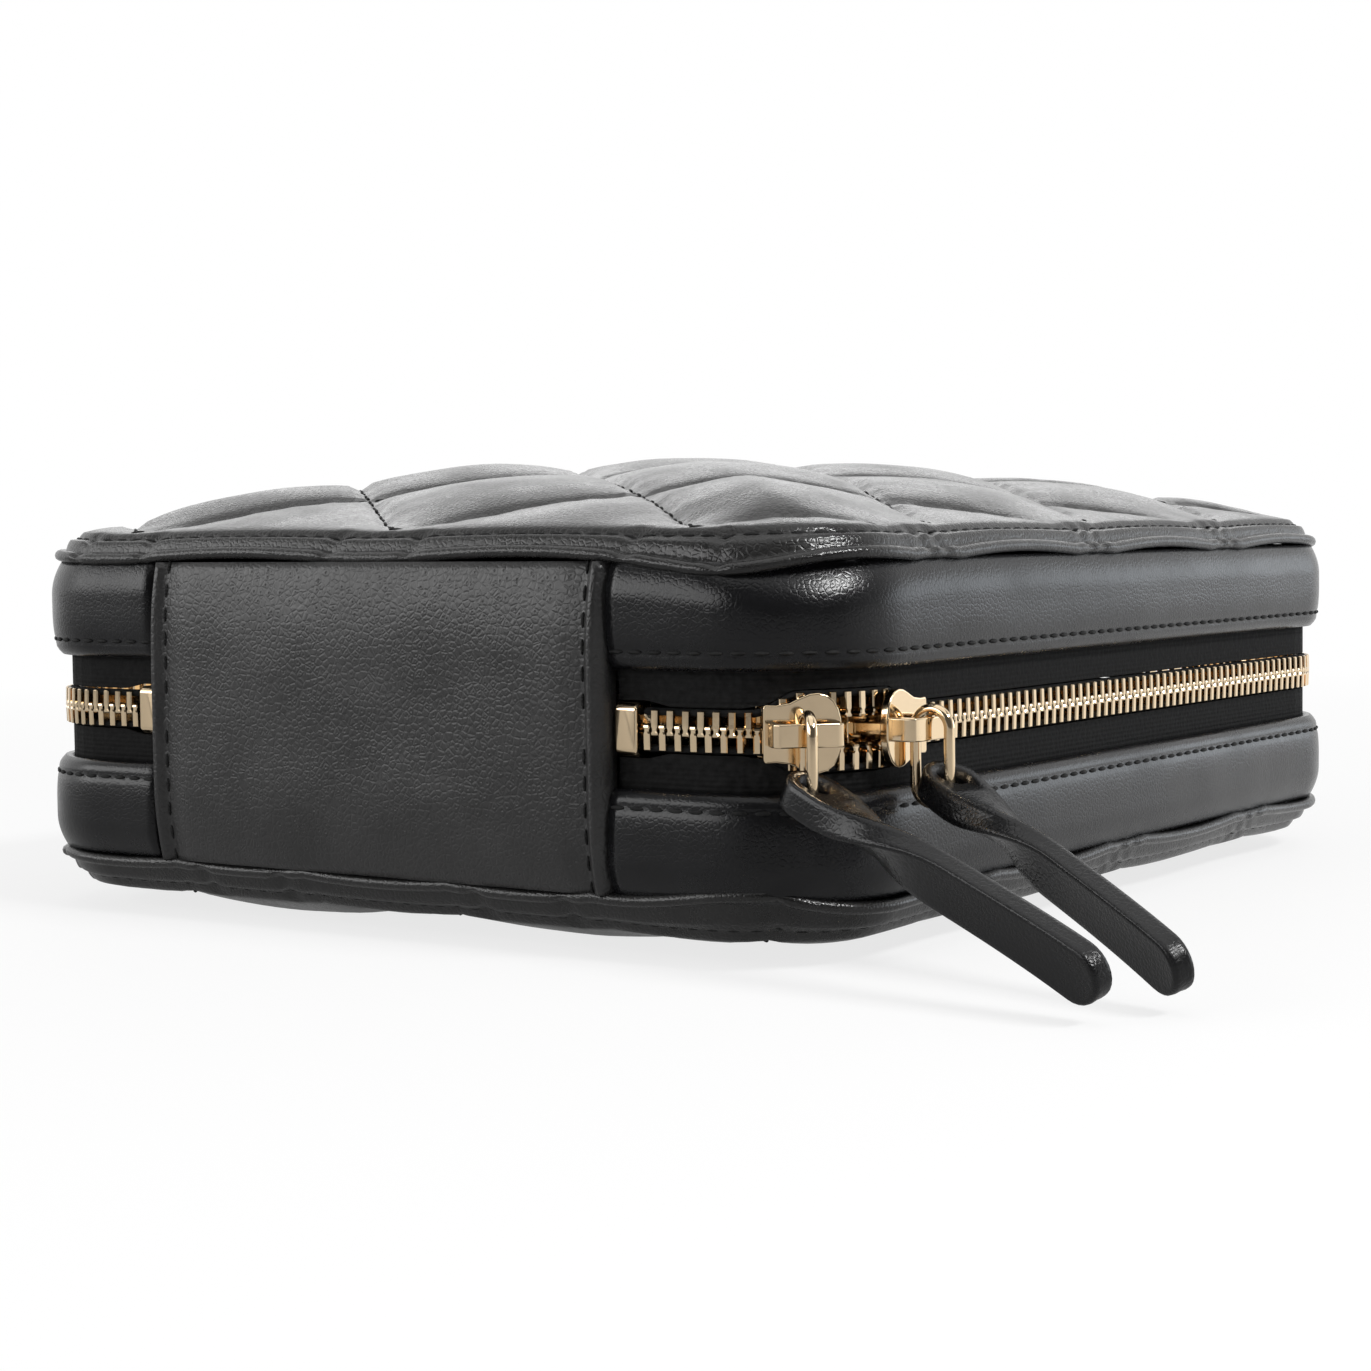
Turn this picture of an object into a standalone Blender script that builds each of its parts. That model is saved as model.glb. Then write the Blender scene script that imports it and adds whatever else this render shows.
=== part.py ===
"""Quilted leather jewellery case that zips open round three sides, built in metres with +Z up.

X runs along the back panel, Y along the long sides, and the back panel (the fold the lid turns on)
is on +Y.  The case stands on z = 0.
"""
import math

import bmesh
import bpy
from mathutils import Matrix, Vector
from mathutils.geometry import delaunay_2d_cdt

for old in list(bpy.data.objects):
    bpy.data.objects.remove(old, do_unlink=True)

MM = 0.001

# Size of the walls, in millimetres
WIDTH = 123.0
LENGTH = 148.0
CORNER_R = 17.0
WALL_H = 36.0
BASE_BULGE = 7.0
PANEL_W = 68.0
PANEL_PROUD = 0.8
BAND_T = 2.2
WINDOW_H = 12.8
FIT_GAP = 0.2

# Quilted covers
LID_DOME = 12.6
RIM_T = 3.0
RIM_OVER = 0.4
RIM_ROUND = 0.8
QUILT_X = 42.0
QUILT_Y = 39.0
LID_QUILT_SHIFT = 29.1
BASE_QUILT_SHIFT = 21.0
LID_REACH = 62.0
LID_RISE = 1.0
LID_PILLOW = 2.6
BASE_REACH = 20.0
BASE_RISE = 0.8
BASE_PILLOW = 2.4
PUFF_POWER = 0.33
REST_CUT = 0.5
QUILT_STEPS = 6
RIM_POINTS = 72

# Zip
TOOTH_PITCH = 2.0
TOOTH_W = 0.8
TOOTH_INSET = 1.45
TOOTH_T = 2.4
CHAIN_HALF = 2.3
BEAD_H = 1.15
TOOTH_REACH = 0.5
PARTING = 2.0
PARTING_LENGTH = 9.3
TAPE_INSET = 2.6
TAPE_T = 0.5
TAPE_TUCK = 4.0
STOP_LENGTH = 2.9
STOP_HALF = 2.9
STOP_T = 3.0

# Sliders, wire loops and leather pulls
SLIDER_LENGTH = 8.3
SLIDER_NARROW = 6.1
SLIDER_WIDE = 8.4
PLATE_T = 1.0
PLATE_CLEAR = 0.35
BEND_CLEAR = 0.8
POST_LENGTH = 1.6
POST_H = 1.4
BRIDGE_H = 2.5
BRIDGE_T = 0.8
BRIDGE_LENGTH = 7.7
SLIDER_A_ANGLE = 43.0
WIRE_D = 1.2
RING_R = 2.05
RING_STRAIGHT = 5.95
RING_CLEAR = 0.35
PULL_LENGTH = 43.0
PULL_W = 6.5
PULL_T = 3.3
HOLE_D = 3.8
PULL_A_YAW = 169.0
PULL_B_YAW = 156.0
FLOOR_CLEAR = 0.25

# Inside
BOARD_T = 1.8
LINING_INSET = 4.4
LINING_T = 1.2
LINING_DROP = 5.0
DIVIDER_T = 2.4
DIVIDER_Y = 6.0
DIVIDER_H = 9.0
ROLL_D = 10.5
ROLLS = 4
POCKET_X = 92.0
POCKET_Y = 58.0
POCKET_T = 6.5

# Fold of the back panel
FOLD_GAP = 0.3
FOLD_OUT = 0.15

# Heights and places that follow from the sizes
Z_BOTTOM = BASE_BULGE
Z_TOP = BASE_BULGE + WALL_H
Z_ZIP = BASE_BULGE + WALL_H / 2
HALF_W = WIDTH / 2
HALF_L = LENGTH / 2
CX = HALF_W - CORNER_R
CY = HALF_L - CORNER_R
ARC = math.pi * CORNER_R / 2
STRAIGHTS = (CX, 2 * CY, 2 * CX, 2 * CY, CX)
CENTRES = ((-CX, CY), (-CX, -CY), (CX, -CY), (CX, CY))
AROUND = sum(STRAIGHTS) + 4 * ARC
S_START = PANEL_W / 2 + FIT_GAP
S_END = AROUND - S_START
S_A = CX + CORNER_R * math.radians(SLIDER_A_ANGLE)
S_B = CX + ARC
HINGE = Vector((0.0, HALF_L + PANEL_PROUD + FOLD_OUT, Z_ZIP))


def material(name, colour, rough, metal=0.0):
    mat = bpy.data.materials.new(name)
    mat.use_nodes = True
    shader = mat.node_tree.nodes["Principled BSDF"]
    shader.inputs["Base Color"].default_value = (*colour, 1.0)
    shader.inputs["Roughness"].default_value = rough
    shader.inputs["Metallic"].default_value = metal
    return mat


LEATHER = material("black_leather", (0.015, 0.015, 0.017), 0.38)
GRAIN = material("grained_black_leather", (0.013, 0.013, 0.014), 0.5)
TAPE = material("black_woven_tape", (0.01, 0.01, 0.011), 0.8)
BRASS = material("pale_gold_metal", (0.83, 0.64, 0.33), 0.22, 1.0)
BOARD = material("grey_board", (0.2, 0.19, 0.18), 0.9)
LINING = material("charcoal_suede", (0.03, 0.03, 0.033), 0.95)


def finish(name, bm, mat, origin=(0.0, 0.0, 0.0)):
    """Turn a mesh in millimetres into a named object whose origin is at the given point."""
    bmesh.ops.remove_doubles(bm, verts=bm.verts, dist=0.0005)
    bmesh.ops.recalc_face_normals(bm, faces=bm.faces)
    bmesh.ops.triangulate(bm, faces=bm.faces)
    origin = Vector(origin)
    for vert in bm.verts:
        vert.co = (vert.co - origin) * MM
    mesh = bpy.data.meshes.new(name)
    bm.to_mesh(mesh)
    bm.free()
    mesh.materials.append(mat)
    obj = bpy.data.objects.new(name, mesh)
    obj.location = origin * MM
    bpy.context.collection.objects.link(obj)
    return obj


# The outline of the case: a rounded rectangle followed from the middle of the back panel

def outline(s):
    """Point of the outline and its outward normal at the distance s along it."""
    s = s % AROUND
    for k, straight in enumerate(STRAIGHTS):
        turn = math.radians(90 + 90 * k)
        normal = Vector((math.cos(turn), math.sin(turn)))
        if s <= straight or k == 4:
            centre = Vector(CENTRES[k - 1]) if k else Vector((0.0, CY))
            along = Vector((-normal.y, normal.x))
            return centre + normal * CORNER_R + along * s, normal
        s -= straight
        if s < ARC:
            turn += s / CORNER_R
            normal = Vector((math.cos(turn), math.sin(turn)))
            return Vector(CENTRES[k]) + normal * CORNER_R, normal
        s -= ARC


def place(s, inset, z):
    """A point given by its distance along the outline, its depth behind it and its height."""
    point, normal = outline(s)
    flat = point - normal * inset
    return Vector((flat.x, flat.y, z))


def stations(start, end, arc_steps=9):
    """Distances at which a piece that follows the outline is cut into straight lengths."""
    found = [start, end]
    s = 0.0
    for straight in STRAIGHTS[:4]:
        s += straight
        found += [s + ARC * i / arc_steps for i in range(arc_steps + 1)]
        s += ARC
    return sorted(value for value in set(found) if start <= value <= end)


def sweep(name, distances, profile, mat, closed=False, origin=(0.0, 0.0, 0.0)):
    """Carry a closed section, given as (inset, height) pairs at each distance, along the outline."""
    bm = bmesh.new()
    loops = [[bm.verts.new(place(s, i, z)) for i, z in profile(s)] for s in distances]
    pairs = list(zip(loops[:-1], loops[1:]))
    if closed:
        pairs.append((loops[-1], loops[0]))
    for a, b in pairs:
        for i in range(len(a)):
            j = (i + 1) % len(a)
            bm.faces.new((a[i], a[j], b[j], b[i]))
    if not closed:
        bm.faces.new(loops[0])
        bm.faces.new(loops[-1])
    return finish(name, bm, mat, origin)


def ring_of(inset, count):
    return [outline(AROUND * (i + 0.5) / count)[0] - outline(AROUND * (i + 0.5) / count)[1] * inset
            for i in range(count)]


def depth_inside(x, y):
    """Distance from a point to the outline, positive inside."""
    dx = abs(x) - CX
    dy = abs(y) - CY
    if dx > 0 and dy > 0:
        return CORNER_R - math.hypot(dx, dy)
    return CORNER_R - max(dx, dy)


def smooth(t):
    t = min(max(t, 0.0), 1.0)
    return t * t * (3 - 2 * t)


# Quilted covers

def quilt_coordinates(x, y, shift):
    """Count of sewn lines crossed along each diagonal; a line runs where one is whole."""
    return x / QUILT_X + (y - shift) / QUILT_Y, x / QUILT_X - (y - shift) / QUILT_Y


def quilted_cover(name, seam, up, dome, reach, rise, pillow, shift, cut, origin=(0.0, 0.0, 0.0)):
    """A padded cover: rolled rim, a sewn line inside it, and pillows between diagonal channels."""
    def height(x, y):
        depth = depth_inside(x, y)
        inward = min(max(depth, 0.0) / reach, 1.0)
        crown = RIM_T + (dome - RIM_T) * (1 - (1 - inward) ** 2) ** rise
        p, q = quilt_coordinates(x, y, shift)
        puff = (abs(math.sin(math.pi * p)) * abs(math.sin(math.pi * q))) ** PUFF_POWER
        sunk = pillow * (1 - puff) * smooth((depth - 1.0) / 12.0)
        return max(min(crown - sunk, dome - cut), 0.6 * RIM_T)

    # The rim roll is a ring of rows; the first row lies on the wall's seam
    rows = ((-RIM_OVER, 0.3 * RIM_T), (-RIM_OVER, 0.7 * RIM_T), (RIM_ROUND - RIM_OVER, RIM_T),
            (1.6, 0.95 * RIM_T), (2.6, 0.74 * RIM_T), (3.8, None))
    rings = [ring_of(inset, RIM_POINTS) for inset, _ in rows]
    points = []
    heights = []
    for (inset, given), ring in zip(rows[1:], rings[1:]):
        for point in ring:
            points.append(point)
            heights.append(height(point.x, point.y) if given is None else given)
    count = int((HALF_W / QUILT_X + (HALF_L + abs(shift)) / QUILT_Y) * QUILT_STEPS) + 1
    for i in range(-count, count + 1):
        for j in range(-count, count + 1):
            x = (i + j) / QUILT_STEPS * QUILT_X / 2
            y = (i - j) / QUILT_STEPS * QUILT_Y / 2 + shift
            if depth_inside(x, y) > 5.6:
                points.append(Vector((x, y)))
                heights.append(height(x, y))
    edges = []
    for row in range(len(rows) - 1):
        first = row * RIM_POINTS
        edges += [(first + i, first + (i + 1) % RIM_POINTS) for i in range(RIM_POINTS)]
    flat, _, faces, origins, _, _ = delaunay_2d_cdt(points, edges, [], 0, 1e-5)
    bm = bmesh.new()
    top = [bm.verts.new((p.x, p.y, seam + up * heights[origins[i][0]])) for i, p in enumerate(flat)]
    for face in faces:
        bm.faces.new([top[i] for i in face])
    where = {origins[i][0]: vert for i, vert in enumerate(top)}
    widest = [where[i] for i in range(RIM_POINTS)]
    low = [bm.verts.new((p.x, p.y, seam + up * rows[0][1])) for p in rings[0]]
    under = [bm.verts.new((p.x, p.y, seam + up * FIT_GAP)) for p in ring_of(RIM_ROUND - RIM_OVER, RIM_POINTS)]
    for i in range(RIM_POINTS):
        j = (i + 1) % RIM_POINTS
        bm.faces.new((widest[i], widest[j], low[j], low[i]))
        bm.faces.new((low[i], low[j], under[j], under[i]))
    bm.faces.new(under)
    return finish(name, bm, LEATHER, origin)


quilted_cover("base_quilted_cover", Z_BOTTOM, -1, BASE_BULGE + REST_CUT, BASE_REACH, BASE_RISE,
              BASE_PILLOW, BASE_QUILT_SHIFT, REST_CUT)
quilted_cover("lid_quilted_cover", Z_TOP, 1, LID_DOME, LID_REACH, LID_RISE, LID_PILLOW,
              LID_QUILT_SHIFT, 0.0, HINGE)


# Leather bands above and below the window, and the back panel in two halves

def band_profile(seam, window, inset=0.0, thick=BAND_T):
    """Section of a band: rolled in at the window's edge, a little bulged, flat at the back."""
    span = window - seam
    front = ((0.0, 0.5), (0.03, 0.15), (0.25, 0.0), (0.6, 0.0), (0.85, 0.25), (0.97, 0.7), (1.0, 1.2))
    return ([(inset + i, seam + span * t) for t, i in front]
            + [(inset + thick, window), (inset + thick, seam)])


WINDOW_LOW = Z_ZIP - WINDOW_H / 2
WINDOW_HIGH = Z_ZIP + WINDOW_H / 2
BANDS = stations(S_START, S_END)
sweep("base_wall_band", BANDS, lambda s: band_profile(Z_BOTTOM, WINDOW_LOW), LEATHER)
sweep("lid_wall_band", BANDS, lambda s: band_profile(Z_TOP, WINDOW_HIGH), LEATHER, origin=HINGE)


def spine_panel(name, seam, fold, origin=(0.0, 0.0, 0.0)):
    """Half of the back panel, with its folded sides rounded over."""
    half = PANEL_W / 2
    edge = 1.2
    outer = HALF_L + PANEL_PROUD
    inner = HALF_L - BAND_T
    section = ((-half, inner), (-half, outer - edge), (-half + 0.3 * edge, outer - 0.3 * edge),
               (-half + edge, outer), (half - edge, outer), (half - 0.3 * edge, outer - 0.3 * edge),
               (half, outer - edge), (half, inner))
    bm = bmesh.new()
    ends = [[bm.verts.new((x, y, z)) for x, y in section] for z in (seam, fold)]
    for i in range(len(section)):
        j = (i + 1) % len(section)
        bm.faces.new((ends[0][i], ends[0][j], ends[1][j], ends[1][i]))
    bm.faces.new(ends[0])
    bm.faces.new(ends[1])
    return finish(name, bm, GRAIN, origin)


spine_panel("spine_panel_lower", Z_BOTTOM, Z_ZIP - FOLD_GAP / 2)
spine_panel("spine_panel_upper", Z_TOP, Z_ZIP + FOLD_GAP / 2, HINGE)


# Zip: tapes, combs of teeth and end stops

def parted(s):
    """How far each row is pushed away from the middle by the two sliders, between their heads."""
    half = PARTING_LENGTH * CORNER_R / (CORNER_R - TAPE_INSET) / 2
    return PARTING * smooth((s - S_A + half) / half) * smooth((S_B + PARTING_LENGTH / 2 - s) / half)


def tape_edge(s):
    """Distance from the chain's middle to a tape's inner edge; the end stops need more room."""
    near_end = min(s - S_START, S_END - s)
    stop = max(STOP_HALF - CHAIN_HALF, 0.0) * (1 - smooth(near_end / STOP_LENGTH - 1.3))
    return CHAIN_HALF + FIT_GAP + stop + parted(s)


def tape(name, way, band_edge, origin=(0.0, 0.0, 0.0)):
    far = band_edge + way * TAPE_TUCK

    def profile(s):
        near = Z_ZIP + way * tape_edge(s)
        return [(TAPE_INSET - TAPE_T / 2, near), (TAPE_INSET + TAPE_T / 2, near),
                (TAPE_INSET + TAPE_T / 2, far), (TAPE_INSET - TAPE_T / 2, far)]
    extra = [S_START + STOP_LENGTH * k for k in (1.3, 1.8, 2.3)]
    extra += [S_END - STOP_LENGTH * k for k in (1.3, 1.8, 2.3)]
    extra += [S_B + PARTING_LENGTH * k / 8 for k in range(1, 5)]
    return sweep(name, sorted(set(BANDS + extra)), profile, TAPE, origin=origin)


def comb(name, way, offset, origin=(0.0, 0.0, 0.0)):
    """One row of teeth on its corded edge, as a single comb that follows the chain."""
    start = S_START + STOP_LENGTH + 2 * FIT_GAP + TOOTH_W + offset
    count = int((S_END - STOP_LENGTH - 2 * FIT_GAP - TOOTH_W - start) / TOOTH_PITCH) + 1
    insets = (TOOTH_INSET, TOOTH_INSET + TOOTH_T)
    bm = bmesh.new()
    teeth = []
    for k in range(count):
        middle = start + k * TOOTH_PITCH
        shift = parted(middle)
        tooth = []
        for side in (-0.5, 0.5):
            for inset in insets:
                root = middle + side * TOOTH_W
                tip = middle + side * 0.7 * TOOTH_W
                heights = (-CHAIN_HALF - shift, -CHAIN_HALF + BEAD_H - shift, TOOTH_REACH - shift)
                tooth.append([bm.verts.new(place(s, inset, Z_ZIP - way * z))
                              for s, z in zip((root, root, tip), heights)])
        teeth.append(tooth)
    for k, (a, b, c, d) in enumerate(teeth):
        # a and c are the front edges, b and d the back edges of one tooth
        for lower, upper in ((0, 1), (1, 2)):
            bm.faces.new((a[lower], c[lower], c[upper], a[upper]))
            bm.faces.new((b[lower], d[lower], d[upper], b[upper]))
        bm.faces.new((a[0], b[0], d[0], c[0]))
        bm.faces.new((a[2], b[2], d[2], c[2]))
        bm.faces.new((a[1], b[1], b[2], a[2]))
        bm.faces.new((c[1], d[1], d[2], c[2]))
        if k == 0:
            bm.faces.new((a[0], b[0], b[1], a[1]))
        if k == count - 1:
            bm.faces.new((c[0], d[0], d[1], c[1]))
        else:
            e, f = teeth[k + 1][:2]
            bm.faces.new((c[0], e[0], e[1], c[1]))
            bm.faces.new((d[0], f[0], f[1], d[1]))
            bm.faces.new((c[0], d[0], f[0], e[0]))
            bm.faces.new((c[1], d[1], f[1], e[1]))
    return finish(name, bm, BRASS, origin)


def box(bm, low, high):
    """Add a box between two corners and give back its vertices."""
    made = bmesh.ops.create_cube(bm, size=1.0)["verts"]
    low = Vector(low)
    high = Vector(high)
    for vert in made:
        vert.co = Vector(low[i] + (vert.co[i] + 0.5) * (high[i] - low[i]) for i in range(3))
    return made


def end_stop(name, s_near, s_far):
    """The clamped metal end of the chain, its outer edges bevelled."""
    def profile(s):
        top = STOP_HALF
        front = TOOTH_INSET - 0.35
        return [(front, Z_ZIP - top + 0.6), (front, Z_ZIP + top - 0.6), (front + 0.6, Z_ZIP + top),
                (front + STOP_T, Z_ZIP + top), (front + STOP_T, Z_ZIP - top), (front + 0.6, Z_ZIP - top)]
    return sweep(name, [s_near, s_far], profile, BRASS)


tape("lower_zip_tape", -1, WINDOW_LOW)
tape("upper_zip_tape", 1, WINDOW_HIGH, HINGE)
comb("lower_zip_teeth", 1, 0.0)
comb("upper_zip_teeth", -1, TOOTH_PITCH / 2, HINGE)
end_stop("zip_stop_a", S_START + FIT_GAP, S_START + FIT_GAP + STOP_LENGTH)
end_stop("zip_stop_b", S_END - FIT_GAP - STOP_LENGTH, S_END - FIT_GAP)


# Sliders with their wire loops and leather pulls

FRONT = TOOTH_INSET - PLATE_CLEAR - PLATE_T
BACK = TOOTH_INSET + TOOTH_T + PLATE_CLEAR + BEND_CLEAR
RING_OUT = RING_CLEAR - FRONT + WIRE_D / 2 + RING_R


def slider_frame(s, head):
    """Axes at a slider: along the chain towards its head, outward, up; from the outline's point."""
    point, normal = outline(s)
    along = Vector((-normal.y, normal.x, 0.0)) * head
    out = Vector((normal.x, normal.y, 0.0))
    return Vector((point.x, point.y, Z_ZIP)), along, out


def mirrored(shape):
    """Close a half outline, given for heights above the middle, below it."""
    return shape + [(a, -z) for a, z in reversed(shape)]


def prism(bm, shape, low, high):
    """Extrude an outline of (along, up) pairs between two depths, out from the wall."""
    rows = [[bm.verts.new((a, depth, z)) for a, z in shape] for depth in (low, high)]
    for i in range(len(shape)):
        j = (i + 1) % len(shape)
        bm.faces.new((rows[0][i], rows[0][j], rows[1][j], rows[1][i]))
    bm.faces.new(rows[0])
    bm.faces.new(rows[1])


def joined(parts):
    """Union of the given meshes as one body."""
    made = []
    for i, bm in enumerate(parts):
        bmesh.ops.recalc_face_normals(bm, faces=bm.faces)
        mesh = bpy.data.meshes.new("piece")
        bm.to_mesh(mesh)
        bm.free()
        obj = bpy.data.objects.new("piece", mesh)
        bpy.context.collection.objects.link(obj)
        made.append(obj)
    for other in made[1:]:
        step = made[0].modifiers.new("join", "BOOLEAN")
        step.operation = "UNION"
        step.solver = "EXACT"
        step.object = other
    result = bmesh.new()
    result.from_object(made[0], bpy.context.evaluated_depsgraph_get())
    for obj in made:
        bpy.data.objects.remove(obj, do_unlink=True)
    return result


def slider_body(name, s, head, origin):
    half = SLIDER_LENGTH / 2
    narrow = SLIDER_NARROW / 2
    wide = SLIDER_WIDE / 2
    plate = mirrored([(-half, 0.85 * narrow), (-0.9 * half, narrow), (0.1 * half, 1.1 * narrow),
                      (0.5 * half, wide), (0.85 * half, 0.92 * wide), (half, 0.6 * wide)])
    front = bmesh.new()
    prism(front, plate, -FRONT, -FRONT - PLATE_T)
    back = bmesh.new()
    prism(back, plate, -BACK, -BACK - PLATE_T)
    post = bmesh.new()
    box(post, (half - 0.6 - POST_LENGTH, -BACK - PLATE_T / 2, -POST_H / 2),
        (half - 0.6, -FRONT - PLATE_T / 2, POST_H / 2))
    bar_in = RING_OUT - BRIDGE_T / 2
    bar_out = RING_OUT + BRIDGE_T / 2
    reach = BRIDGE_LENGTH / 2
    foot = -FRONT - PLATE_T / 2
    arch = [(-reach, foot), (-reach, bar_out - 0.8), (-reach + 0.8, bar_out), (reach - 0.8, bar_out),
            (reach, bar_out - 0.8), (reach, foot), (reach - 1.3, foot), (reach - 1.3, bar_in),
            (1.3 - reach, bar_in), (1.3 - reach, foot)]
    bridge = bmesh.new()
    rows = [[bridge.verts.new((a, o, z)) for a, o in arch] for z in (-BRIDGE_H / 2, BRIDGE_H / 2)]
    for i in range(len(arch)):
        j = (i + 1) % len(arch)
        bridge.faces.new((rows[0][i], rows[0][j], rows[1][j], rows[1][i]))
    bridge.faces.new(rows[0])
    bridge.faces.new(rows[1])
    bm = joined([front, back, post, bridge])
    point, along, out = slider_frame(s, head)
    for vert in bm.verts:
        a, o, z = vert.co
        vert.co = point + along * a + out * o + Vector((0.0, 0.0, z))
    return finish(name, bm, BRASS, origin)


def wire_ring(name, s, head):
    """An oval loop of round wire hung on the slider's bridge, in the plane out from the wall."""
    point, along, out = slider_frame(s, head)
    centre = point + out * RING_OUT
    up = Vector((0.0, 0.0, 1.0))
    steps = 10
    path = []
    for end, drop in ((0.0, 0.0), (math.pi, RING_STRAIGHT)):
        for i in range(steps + 1):
            angle = end + math.pi * i / steps
            away = out * math.cos(angle) + up * math.sin(angle)
            path.append((centre - up * drop + away * RING_R, away))
    bm = bmesh.new()
    loops = []
    for middle, away in path:
        loops.append([bm.verts.new(middle + (away * math.cos(k * math.pi / 4)
                                             + along * math.sin(k * math.pi / 4)) * WIRE_D / 2)
                      for k in range(8)])
    for i, a in enumerate(loops):
        b = loops[(i + 1) % len(loops)]
        for k in range(8):
            m = (k + 1) % 8
            bm.faces.new((a[k], a[m], b[m], b[k]))
    return finish(name, bm, BRASS, centre)


def leather_pull(name, s, head, yaw):
    """A rounded strip with a hole at one end, threaded on the loop and lying down to the floor."""
    point, along, out = slider_frame(s, head)
    hole = point + out * (RING_OUT + RING_R) - Vector((0.0, 0.0, RING_STRAIGHT + 0.15 * RING_R))
    reach = PULL_LENGTH - PULL_W / 2
    slope = math.asin(min((hole.z - PULL_T / 2 - FLOOR_CLEAR) / reach, 0.9))
    length = PULL_LENGTH - PULL_W
    steps = 8
    shape = []
    for end, turn in ((0.0, 90), (length, -90)):
        for i in range(steps + 1):
            angle = math.radians(turn + 180 * i / steps)
            shape.append((end + PULL_W / 2 * math.cos(angle), PULL_W / 2 * math.sin(angle)))
    soft = 0.45
    rows = []
    bm = bmesh.new()
    for grow, z in ((soft, -0.5), (0.0, -0.5 + soft / PULL_T), (0.0, 0.5 - soft / PULL_T), (soft, 0.5)):
        fit = 1 - 2 * grow / PULL_W
        rows.append([bm.verts.new(((a - min(max(a, 0.0), length)) * fit + min(max(a, 0.0), length),
                                   b * fit, z * PULL_T)) for a, b in shape])
    for low, high in zip(rows[:-1], rows[1:]):
        for i in range(len(shape)):
            j = (i + 1) % len(shape)
            bm.faces.new((low[i], low[j], high[j], high[i]))
    count = 12
    holes = []
    for z in (-0.5, 0.5):
        holes.append([bm.verts.new((HOLE_D / 2 * math.cos(2 * math.pi * k / count),
                                    HOLE_D / 2 * math.sin(2 * math.pi * k / count), z * PULL_T))
                      for k in range(count)])
    for k in range(count):
        m = (k + 1) % count
        bm.faces.new((holes[0][k], holes[0][m], holes[1][m], holes[1][k]))
    for row, ring in ((rows[0], holes[0]), (rows[3], holes[1])):
        flat = [Vector((v.co.x, v.co.y)) for v in row + ring]
        n = len(row)
        edges = [(i, (i + 1) % n) for i in range(n)]
        edges += [(n + k, n + (k + 1) % count) for k in range(count)]
        _, _, faces, origins, _, _ = delaunay_2d_cdt(flat, edges, [], 1, 1e-6)
        corners = row + ring
        for face in faces:
            ids = [origins[i][0] for i in face]
            if any(i < n for i in ids):
                bm.faces.new([corners[i] for i in ids])
    turn = Matrix.Rotation(math.radians(yaw), 4, "Z") @ Matrix.Rotation(slope, 4, "Y")
    for vert in bm.verts:
        vert.co = hole + turn @ vert.co
    return finish(name, bm, LEATHER, hole)


ARC_CENTRE = (-CX, CY, Z_ZIP)
slider_body("slider_a_body", S_A, 1, ARC_CENTRE)
slider_body("slider_b_body", S_B, -1, slider_frame(S_B, -1)[0])
for letter, s_at, way, yaw_at in (("a", S_A, 1, PULL_A_YAW), ("b", S_B, -1, PULL_B_YAW)):
    wire_ring(f"slider_{letter}_ring", s_at, way)
    leather_pull(f"slider_{letter}_pull", s_at, way, yaw_at)


# Boards and linings

def slab(name, inset, low, high, mat, origin=(0.0, 0.0, 0.0)):
    """A flat plate that fills the outline less an inset."""
    bm = bmesh.new()
    around = stations(0.0, AROUND - 0.001, 7)
    rows = [[bm.verts.new(place(s, inset, z)) for s in around] for z in (low, high)]
    for i in range(len(around)):
        j = (i + 1) % len(around)
        bm.faces.new((rows[0][i], rows[0][j], rows[1][j], rows[1][i]))
    bm.faces.new(rows[0])
    bm.faces.new(rows[1])
    return finish(name, bm, mat, origin)


def tray(name, floor, top, origin=(0.0, 0.0, 0.0)):
    """An open lined tray: a floor with a wall round it, the wall's free edge rounded."""
    way = 1 if top > floor else -1
    outer = LINING_INSET
    inner = outer + LINING_T
    around = stations(0.0, AROUND - 0.001, 7)
    levels = ((outer, floor), (outer, top - way * 0.4), (outer + 0.4, top), (inner - 0.4, top),
              (inner, top - way * 0.4), (inner, floor + way * LINING_T))
    bm = bmesh.new()
    rows = [[bm.verts.new(place(s, inset, z)) for s in around] for inset, z in levels]
    for low, high in zip(rows[:-1], rows[1:]):
        for i in range(len(around)):
            j = (i + 1) % len(around)
            bm.faces.new((low[i], low[j], high[j], high[i]))
    bm.faces.new(rows[0])
    bm.faces.new(rows[-1])
    return finish(name, bm, LINING, origin)


BOARD_INSET = BAND_T + TAPE_T + 2 * FIT_GAP
BASE_FLOOR = Z_BOTTOM + BOARD_T + 2 * FIT_GAP
LID_FLOOR = Z_TOP - BOARD_T - 2 * FIT_GAP
slab("base_board", BOARD_INSET, Z_BOTTOM + FIT_GAP, Z_BOTTOM + FIT_GAP + BOARD_T, BOARD)
slab("lid_board", BOARD_INSET, Z_TOP - FIT_GAP - BOARD_T, Z_TOP - FIT_GAP, BOARD, HINGE)
tray("base_lining_tray", BASE_FLOOR, Z_ZIP - LINING_DROP)
tray("lid_lining", LID_FLOOR, Z_ZIP + LINING_DROP, HINGE)


# What the tray holds

IN_X = HALF_W - LINING_INSET - LINING_T - FIT_GAP
IN_Y = HALF_L - LINING_INSET - LINING_T - FIT_GAP
IN_Z = BASE_FLOOR + LINING_T + FIT_GAP


def divider(name, low, high):
    """A padded strip standing on the tray's floor."""
    bm = bmesh.new()
    box(bm, low, high)
    edges = [edge for edge in bm.edges if all(vert.co.z > low[2] + 0.1 for vert in edge.verts)]
    bmesh.ops.bevel(bm, geom=edges, offset=0.6, segments=2, affect="EDGES")
    return finish(name, bm, LINING)


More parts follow.
